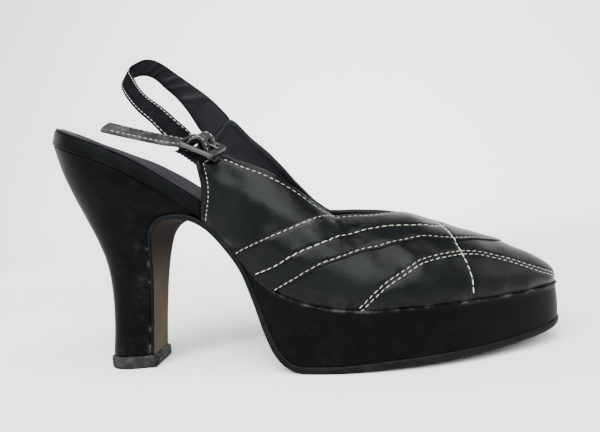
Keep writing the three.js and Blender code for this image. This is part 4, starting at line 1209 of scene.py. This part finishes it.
def lift_ring(z, inset):
    back, front = HEEL["backX"][0] - LIFT_OVERHANG + inset, SOLE["x"][0] + LIFT_OVERHANG - inset
    wide = HEEL["wide"][0] + LIFT_OVERHANG - inset
    return heel_ring(back, front, wide, wide - 0.4, lambda x, v: z + 0 * x)


levels = [(0, 0.9), (0.05, 0.45), (0.3, 0.12), (0.7, 0)] + [(z, 0) for z in np.linspace(1, 4.6, 12)]
levels += [(4.9, 0.06), (5.1, 0.2), (LIFT_HEIGHT + 0.15, 0.6)]
points, faces = tube(np.array([lift_ring(z, inset) for z, inset in levels]))
x, y, z = points.T
chipped = 0.22 * np.sin(x * 1.9 + z * 2.3) * np.sin(y * 1.4 - z * 1.7) + 0.15 * np.sin(x * 4.1 - y * 3.3)
middle = np.array([x.mean(), 0, 0])
points = points + ((z > 0.2) & (z < 5))[:, None] * chipped[:, None] * unit((points - middle) * [1, 1, 0])
add_piece("heel_lift", points, faces, [LIFT_RUBBER], "heel_lift", ["top_piece"],
          tags={"worn": 0.22 + 0.5 * smooth_step(x, 37, 42)})

# %% [markdown]
# ## Insole
# Behind the quarters the insole shows: a stiff board covered in the same black leather, whose side is
# the dark strip over the heel, and a thin sock of softer leather glued on top, set in from the edge.
# Further forward both disappear into the upper, where they stay clear of its wall.

# %% Insole board and sock
TUCKED = UPPER_WALL + 0.5  # how far the board's edge stands in from the outline inside the upper
BOARD_ROUND, SOCK_INSET, SOCK_THICK, HEEL_CUP = 1.3, 2.2, 0.55, 0.9
UNDER_SOCK = 1.4  # depth of the board's hollow under the sock, more than the cup's
TUCK_FROM, TUCK_TO = 70.4, 73.6  # where the board's edge goes in under the upper, with finer rings


def board_rows():
    return np.concatenate([
        SEAT_BACK + (on_outline(TUCK_FROM) - SEAT_BACK) * np.linspace(0, 1, 90) ** 1.6,
        np.linspace(on_outline(TUCK_FROM), on_outline(TUCK_TO), 14)[1:],
        np.linspace(on_outline(TUCK_TO), TOE_TIP, 90)[1:]])


def board_inset(x):
    return TUCKED * smooth_step(x, 71.9, 73.4)


def board_side(side):
    """Half rings of the board: its side wall, which leans in, a round top edge and the hollow's edge."""
    at = board_rows()
    x = curve(OUTLINE, "x", at)
    turn = np.radians(np.linspace(0, 90, 7))
    top_inset = BOARD_ROUND * (1 - np.cos(turn))
    inset = np.concatenate([[0.5, 0.1, 0, 0], top_inset, BOARD_ROUND + np.array([1.2, 3])])
    under, bed = curve(OUTLINE, "under", at)[:, None], curve(OUTLINE, "bed", at)[:, None]
    low = np.array([0, 0.25, 0.8, 3.0])[None] + under
    high = bed - BOARD_ROUND + BOARD_ROUND * np.sin(turn)[None]
    height = np.concatenate([low, high, bed, bed - UNDER_SOCK], 1)
    at_the_back = np.exp(-(x[:, None] - OUTLINE["x"][SEAT_BACK]) / 12)
    lean = (height - low[:, :1]) * (0.04 + 0.27 * at_the_back)
    flat, _ = outline(side, at[:, None] + 0 * inset[None], board_inset(x)[:, None] + inset[None] + lean)
    return np.concatenate([flat, height[..., None]], -1)


rings = np.concatenate([board_side(NEAR), board_side(FAR)[:, ::-1]], 1)
points, faces = tube(rings)
add_piece("insole_board", points, faces, [COVER_LEATHER], "sock_leather", ["insole"],
          tags={"worn": np.full(len(points), 0.03)})


def sock_sheet():
    """Sheet between the two inset edges, lowered to a shallow cup at the seat: cup (1 - u^2)."""
    at = SEAT_BACK + (TOE_TIP - SEAT_BACK) * np.linspace(0.0, 0.985, 200) ** 1.15
    x = curve(OUTLINE, "x", at)
    bed = curve(OUTLINE, "bed", at)
    edges = [outline(side, at, board_inset(x) + SOCK_INSET)[0] for side in (NEAR, FAR)]
    u = np.linspace(-1, 1, 29)
    across = (1 + u[None, :, None]) / 2
    flat = edges[0][:, None] * (1 - across) + edges[1][:, None] * across
    cup = HEEL_CUP * (1 - u ** 2)[None] * (1 - smooth_step(x, 60, 90))[:, None]
    wavy = 0.08 * np.sin(flat[..., 0] / 2.7) * np.sin(flat[..., 1] / 3.3 + 1)
    return np.concatenate([flat, (bed[:, None] - cup + wavy + 0.05)[..., None]], -1)


sheet = sock_sheet()
points, faces = weld(sheet.reshape(-1, 3), grid_faces(*sheet.shape[:2]))
points, faces, _ = shell(points, faces, SOCK_THICK, SOCK_THICK / 2 + 0.1)
# the sock's lighter colour is painted sheen
add_piece("sock_lining", points, faces, [SOCK_LEATHER_PAINTED_SHEEN], "sock_leather")

# %% [markdown]
# ## Straps
# A strap is leather folded over a lining and stitched along both edges. It runs through a list of
# pairs of edge points, and a smooth curve joins them. The section is a flat bar with round edges, with
# a shallow groove under each stitch row. The sling strap keeps the slack loop that it has off the
# foot: it twists over at the top, so its lining shows on the far limb, with cross folds where it bends.

# %% Buckle axes and strap routes
BUCKLE = dict(centre=np.array([76.2, -27, 93.5]), along=unit(np.array([0.88, -0.1, -0.46])),
              across=np.array([0.29, 0.89, 0.36]), length=16, width=14, thick=1.8, bar=1.8, sides=1.7,
              back=1.4, plate=3.0, corner=2.2, bevel=0.45)
BUCKLE["out"] = unit(np.cross(BUCKLE["along"], BUCKLE["across"]))
BUCKLE["across"] = np.cross(BUCKLE["out"], BUCKLE["along"])
STRAP_WIDTH, STRAP_WALL = 9.0, 1.8

THROUGH_BUCKLE = table(
    "along out thick",
    (8.4, -2.2, 1.4), (6.6, -2.1, 1.4), (5.0, -2.05, 1.4), (3.9, -0.9, 1.4), (2.9, 1.2, 1.4),
    (1.6, 3.2, 1.4), (0, 4.1, 1.4), (-1.8, 3.9, 1.4), (-3.6, 2.3, 1.4), (-5.1, -0.1, 1.4),
    (-6.3, -1.9, 1.4), (-8.0, -2.4, 1.5), (-10.0, -2.7, 1.8),
)
LOOSE_END = table(
    "x y z wx wy wz",
    (61.0, -26.6, 97.2, 0.18, 0.87, 0.46),
    (50.0, -28.0, 100.4, 0.12, 0.87, 0.48),
    (38.0, -29.4, 104.2, 0.08, 0.86, 0.5),
)
SLING_HOOK = table(
    "along out thick",
    (-7.5, -3.3, 1.2), (-5.6, -2.2, 1.7), (-4.2, -0.6, 1.8), (-3.0, 0.9, 1.8), (-1.6, 2.2, 1.6),
    (-0.2, 2.6, 1.4), (1.4, 1.7, 1.2), (1.65, -0.4, 0.9), (0.6, -2.0, 0.9), (-2.6, -3.2, 1.3),
    (-8.0, -4.6, 1.7),
)
SLING = table(
    "lx ly lz ux uy uz",
    (64.2, -20.2, 94.8, 69.0, -15.4, 100.8),
    (57.9, -19.4, 100.7, 63.0, -17.6, 108.0),
    (52.8, -18.0, 106.5, 57.2, -15.2, 113.8),
    (46.2, -15.4, 113.0, 50.0, -11.4, 119.9),
    (40.8, -11.4, 119.4, 44.8, -6.8, 125.8),
    (37.0, -7.0, 124.9, 41.0, -2.4, 131.6),
    (35.0, -2.4, 128.4, 38.4, 1.2, 136.2),
    (34.4, 2.6, 131.4, 37.6, 4.8, 139.6),
    (35.4, 7.4, 134.2, 38.8, 8.4, 142.4),
    (38.2, 11.8, 136.9, 41.6, 12.0, 145.0),
    (41.4, 15.2, 137.6, 45.2, 15.6, 145.4),
    (44.4, 18.4, 136.2, 49.0, 19.0, 143.6),
    (47.6, 21.0, 132.6, 54.2, 21.8, 139.4),
    (52.4, 23.4, 127.6, 61.6, 24.2, 133.4),
    (57.4, 25.0, 120.2, 69.4, 25.8, 126.5),
    (62.0, 26.0, 111.4, 76.0, 26.8, 118.9),
    (66.6, 26.5, 104.3, 78.6, 27.2, 115.2),
)


def on_buckle(along, across, out):
    """Places given in the buckle's own axes: along the strap, across it and out of its face."""
    parts = dict(along=along, across=across, out=out)
    moves = (np.asarray(amount, float)[..., None] * BUCKLE[axis] for axis, amount in parts.items())
    return BUCKLE["centre"] + sum(moves)


def points_of(rows, names):
    """Points from three columns of a table."""
    return np.stack([rows[name] for name in names.split()], -1)


def buckled_edges(rows, width):
    return [on_buckle(rows["along"], side * width / 2, rows["out"]) for side in (-1, 1)]


def route(edges, thick, count):
    """Evenly numbered sections of a strap: low edge, high edge and thickness."""
    columns = {f"{k}{axis}": edge[:, axis] for k, edge in enumerate(edges) for axis in range(3)}
    columns["thick"] = np.asarray(thick, float)
    at = np.linspace(0, len(thick) - 1, count)
    low, high = (np.stack([curve(columns, f"{k}{axis}", at) for axis in range(3)], -1) for k in (0, 1))
    return low, high, curve(columns, "thick", at)


# %% Strap section
TOP_POINTS, EDGE_POINTS = 17, 5
CAP_TURN = (EDGE_POINTS + 1) // 2  # points by which a section is turned to cap it across its width
STRAP_ROW, ROW_DEPTH = 1.05, 0.14  # of a strap's stitches: distance from its edge, depth under its face


def strap_axes(low, high):
    middle = (low + high) / 2
    run = np.gradient(middle, axis=0)
    across = high - low
    return middle, unit(run), unit(across), unit(np.cross(run, across)), np.linalg.norm(across, axis=-1)


def flat(b, share):
    return 0


def ribbon(low, high, thick, face_lift=flat, back_lift=flat, groove=0.16):
    """Rings round a strap. Across it runs b from -1 to 1: height thick/2 (1 - 0.12 b^4) less the grooves;
    each edge is half an ellipse. The lifts are heights added to one face, for folds."""
    middle, _, across, face, width = strap_axes(low, high)
    share = np.linspace(0, 1, len(low))[:, None]
    thick, width = thick[:, None], width[:, None]
    r = 0.45 * thick
    b = np.linspace(-1, 1, TOP_POINTS)[None]
    y = b * (width / 2 - r)
    row = width / 2 - STRAP_ROW
    dent = groove * (np.exp(-((y - row) / 0.5) ** 2) + np.exp(-((y + row) / 0.5) ** 2))
    plain = thick / 2 * (1 - 0.12 * b ** 4) - dent
    top, bottom = plain + face_lift(b, share), -plain - back_lift(b, share)
    turn = np.radians(np.linspace(0, 180, EDGE_POINTS + 2)[1:-1])[None]
    rim_y = width / 2 - r + r * np.sin(turn)
    rim_z = 0.44 * thick * np.cos(turn)
    ys = np.concatenate([y, rim_y, y[:, ::-1], -rim_y[:, ::-1]], 1)
    zs = np.concatenate([top, rim_z, bottom[:, ::-1], rim_z[:, ::-1]], 1)
    return middle[:, None] + ys[..., None] * across[:, None] + zs[..., None] * face[:, None]


def round_end(rings, depth):
    """Adds two shrinking rings so that a strap's last end is softly rounded."""
    ring, centre = rings[-1], rings[-1].mean(0)
    out = unit(centre - rings[-2].mean(0))
    steps = ((0.97, depth / 2), (0.86, depth))
    added = [centre + (ring - centre) * scale + out * push for scale, push in steps]
    return np.concatenate([rings, added])


def strap_skin(rings):
    return tube(np.roll(rings, CAP_TURN, axis=1))


def cut_slot(piece, start, end):
    """Cuts the slot for the prong, a box in the buckle's axes, out of a finished strap."""
    corners = np.stack(np.meshgrid(*zip(start, end), indexing="ij"), -1).reshape(-1, 3)
    box_faces = np.array([[0, 1, 3, 2], [4, 6, 7, 5], [0, 4, 5, 1], [2, 3, 7, 6], [0, 2, 6, 4], [1, 5, 7, 3]])
    box_points = on_buckle(*corners.T)
    cutter = build_mesh("slot_cutter", box_points, turned_out(box_points, box_faces), [])
    cut = piece.modifiers.new("slot", "BOOLEAN")
    cut.operation, cut.object, cut.solver = "DIFFERENCE", cutter, "EXACT"
    bpy.context.view_layer.update()
    cut_mesh = bpy.data.meshes.new_from_object(piece.evaluated_get(bpy.context.evaluated_depsgraph_get()))
    piece.modifiers.clear()
    piece.data = cut_mesh
    bpy.data.objects.remove(cutter)
    print(f"{piece.name}: slot cut, {len(piece.data.polygons)} faces")


# %% Sling strap
SLING_RINGS = 330
SLING_OUT = -1  # the strap's outer face is the underside of its route
FOLDS = (0.78, 0.81, 0.85, 0.875, 0.91)  # places of the cross folds, as shares of the strap's route

hook = buckled_edges(SLING_HOOK, STRAP_WIDTH - 0.6)
loop = [points_of(SLING, names) for names in ("lx ly lz", "ux uy uz")]
sling_thick = np.concatenate([SLING_HOOK["thick"], np.full(len(SLING["lx"]), STRAP_WALL)])
low, high, thick_at = route([np.concatenate(pair) for pair in zip(hook, loop)], sling_thick, SLING_RINGS)


def lining_folds(b, share):
    """Cross folds of the lining on the far limb, stronger towards one edge."""
    reach = smooth_step(share, 0.60, 0.70) * (1 - smooth_step(share, 0.93, 0.99))
    wave = np.sin(share * 105 + 1.1 * b) + 0.7 * np.sin(share * 61 - 1.6 * b + 0.6)
    ridges = sum(np.exp(-((share - place - 0.012 * b) / 0.007) ** 2) for place in FOLDS)
    return reach * (0.1 * wave + 0.45 * ridges) * (1 - 0.3 * b ** 2)


def limb_folds(b, share):
    """Faint cross folds of the outer face at the top of the loop."""
    return 0.05 * np.sin(share * 150 + b) * smooth_step(share, 0.25, 0.5)


rings = ribbon(low, high, thick_at, lining_folds, limb_folds)
points, faces = strap_skin(rings)
around = rings.shape[1]
is_lining = np.zeros(len(faces), int)  # the lining is the side that ribbon draws first
column = (np.arange(around) - CAP_TURN) % around
is_lining[:around * (len(rings) - 1)] = np.tile(column < TOP_POINTS - 1, len(rings) - 1)
sling = add_piece("sling_leather", points, faces, [STRAP_LEATHER, LINING], "strap_leather", ["sling_strap"],
                  tags={"worn": np.full(len(points), 0.03)}, face_material=is_lining)
cut_slot(sling, (-3.2, -1.3, -3.8), (3.0, 1.3, 3.5))


def strap_rows(low, high, thick, start, stop, outer, size):
    """Both stitch rows of a strap between two shares of its length, on its outer face."""
    middle, _, across, face, width = strap_axes(low, high)
    cut = slice(int(start * len(low)), int(stop * len(low)))
    rows = []
    for edge in (-1, 1):
        aside, above = edge * (width / 2 - STRAP_ROW), outer * (thick / 2 - ROW_DEPTH)
        path = middle + aside[:, None] * across + above[:, None] * face
        rows.append(row_of_stitches(path[cut], outer * face[cut], *size))
    return rows


STRAP_STITCH = (2.2, 1.6, 0.27)
strap_stitches = strap_rows(low, high, thick_at, 0.25, 0.995, SLING_OUT, STRAP_STITCH)

# %% Buckle strap
direction = unit(points_of(LOOSE_END, "wx wy wz")) * STRAP_WIDTH / 2
centre_line = points_of(LOOSE_END, "x y z")
end_edges = [centre_line - direction, centre_line + direction]
edges = [np.concatenate(pair) for pair in zip(buckled_edges(THROUGH_BUCKLE, STRAP_WIDTH), end_edges)]
strap_thick = np.concatenate([THROUGH_BUCKLE["thick"], np.full(len(centre_line), STRAP_WALL)])
BUCKLE_RINGS = 240
low, high, thick_at = route(edges, strap_thick, BUCKLE_RINGS)


def worn_creases(b, share):
    """Fine creases across the strap where it bends over the bar."""
    bend = np.exp(-((share - 0.38) / 0.13) ** 2)
    return 0.07 * bend * np.sin(share * 260 + 2 * b) + 0.03 * np.sin(share * 90 + 3 * b)


points, faces = strap_skin(round_end(ribbon(low, high, thick_at, worn_creases, worn_creases), 0.6))
buckle_strap = add_piece("buckle_strap_leather", points, faces, [WORN_STRAP], "strap_leather",
                         ["buckle_strap"], tags={"worn": np.full(len(points), 0.5)})
cut_slot(buckle_strap, (1.2, -1.2, -1.7), (4.5, 1.2, 3.7))
middle, _, across, face, width = strap_axes(low, high)
strap_out = float(np.sign((face[60] * BUCKLE["out"]).sum()))
strap_stitches += strap_rows(low, high, thick_at, 0.22, 0.99, strap_out, STRAP_STITCH)
across_end = np.linspace(-1, 1, 40)[:, None] * (width[-3] / 2 - STRAP_ROW - 0.3)
end_row = middle[-3] + across_end * across[-3] + strap_out * (thick_at[-3] / 2 - ROW_DEPTH) * face[-3]
strap_stitches.append(row_of_stitches(end_row, np.repeat(strap_out * face[-3:-2], 40, 0), *STRAP_STITCH))
add_stitches("strap_stitches", strap_stitches, THREAD, "strap_leather")

# %% Elastic
ELASTIC_WIDTH, ELASTIC_LENGTH, GATHER = 9.4, 15.4, 1.5  # the last is the length of one gather
ELASTIC = table("along out thick", (6.4, -7.2, 1.0), (3.0, -6.6, 1.0), (-1.0, -6.3, 1.1), (-5.0, -6.5, 1.1),
                (-9.0, -7.0, 1.0))
low, high, thick_at = route(buckled_edges(ELASTIC, ELASTIC_WIDTH), ELASTIC["thick"], 150)
share = np.linspace(0, 1, len(low))[:, None]
gathers = share * ELASTIC_LENGTH / GATHER * 2 * np.pi
low = low - 0.225 * (1 - np.cos(gathers)) * BUCKLE["across"]
low = low + 2.4 * smooth_step(share, 0.35, 1) * BUCKLE["out"]


def gathered(b, share):
    """Ripples across the whole width of the band, the same way up on both faces."""
    return 0.19 * np.sin(gathers + 0.4 * b)


rings = ribbon(low, high, thick_at, gathered, lambda b, share: -gathered(b, share), groove=0)
add_piece("gathered_elastic", *strap_skin(rings), [ELASTIC_CLOTH], "elastic_fabric", ["elastic"])

# %% [markdown]
# ## Buckle
# The frame was cast flat: a bar in the middle for the prong, a thin back bar and a broad plate in front
# that the prong rests on. A flat curve with two holes, given a thickness and a small round bevel, is
# the shortest way to such a plate. The prong is a bent wire with an eye round the middle bar.

# %% Buckle frame
def rectangle(low_x, high_x, low_y, high_y, corner, steps=6):
    """Outline of a rectangle with round corners."""
    turn = np.radians(np.linspace(0, 90, steps))
    corners = ((high_x, high_y, 0), (low_x, high_y, 90), (low_x, low_y, 180), (high_x, low_y, 270))
    points = []
    for x, y, start in corners:
        a = turn + np.radians(start)
        centre_x = x - corner * np.sign(x - (low_x + high_x) / 2)
        centre_y = y - corner * np.sign(y - (low_y + high_y) / 2)
        points.append(np.stack([centre_x + corner * np.cos(a), centre_y + corner * np.sin(a)], -1))
    return np.concatenate(points)


def flat_plate(name, outlines, thick, bevel):
    """Mesh of a flat plate with holes, bevelled, in its own millimetres."""
    plate = bpy.data.curves.new(name, "CURVE")
    plate.dimensions, plate.fill_mode = "2D", "BOTH"
    plate.extrude, plate.offset = thick / 2 - bevel, -bevel
    plate.bevel_depth, plate.bevel_resolution = bevel, 3
    for points in outlines:
        spline = plate.splines.new("POLY")
        spline.points.add(len(points) - 1)
        spline.points.foreach_set("co", (points @ np.eye(2, 4) + [0, 0, 0, 1]).ravel())
        spline.use_cyclic_u = True
    holder = put_in_scene(name, plate)
    bpy.context.view_layer.update()
    mesh = bpy.data.meshes.new_from_object(holder.evaluated_get(bpy.context.evaluated_depsgraph_get()))
    bpy.data.objects.remove(holder)
    return mesh


b = BUCKLE
half_long, half_wide, reach = b["length"] / 2, b["width"] / 2, b["width"] / 2 - b["sides"]
plates = [
    rectangle(-half_long, half_long, -half_wide, half_wide, b["corner"]),
    rectangle(b["bar"] / 2, half_long - b["plate"], -reach, reach, 0.8),
    rectangle(b["back"] - half_long, -b["bar"] / 2, -reach, reach, 0.8),
]
mesh = flat_plate("buckle_plate", plates, b["thick"], b["bevel"])
mesh.transform(Matrix([[*(axis[k] * MM for axis in (b["along"], b["across"], b["out"])),
                        (b["centre"][k] - ORIGIN[k]) * MM] for k in range(3)] + [[0, 0, 0, 1]]))
mesh.materials.clear()
mesh.materials.append(GUNMETAL)
dress(put_in_scene("buckle_plate", mesh), ["buckle_frame"])


# %% Prong
PRONG = dict(eye=1.87, reach=6.4, wide=1.7, tip=1.2, thick=0.8)
EYE_RINGS, SHAFT_RINGS = 30, 22
turn = np.radians(np.linspace(350, 60, EYE_RINGS))
rest = BUCKLE["thick"] / 2 + 0.5
bend = 0.15 * np.sin(np.linspace(0, np.pi, SHAFT_RINGS))
path_along = np.concatenate([PRONG["eye"] * np.cos(turn), np.linspace(1.9, PRONG["reach"], SHAFT_RINGS)])
path_out = np.concatenate([PRONG["eye"] * np.sin(turn), np.linspace(1.75, rest, SHAFT_RINGS) + bend])
narrowing = np.linspace(PRONG["wide"], PRONG["tip"], SHAFT_RINGS)
width = np.concatenate([np.full(EYE_RINGS, PRONG["wide"]), narrowing])
low, high = (on_buckle(path_along, side * width / 2, path_out) for side in (-1, 1))
rings = ribbon(low, high, np.full(len(width), PRONG["thick"]), groove=0)
rings = round_end(round_end(rings[::-1], 0.2)[::-1], 0.4)
add_piece("prong", *strap_skin(rings), [GUNMETAL], "gunmetal", ["buckle_prong"])


# %% [markdown]
# ## Overall size
# %% Sizes
low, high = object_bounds()
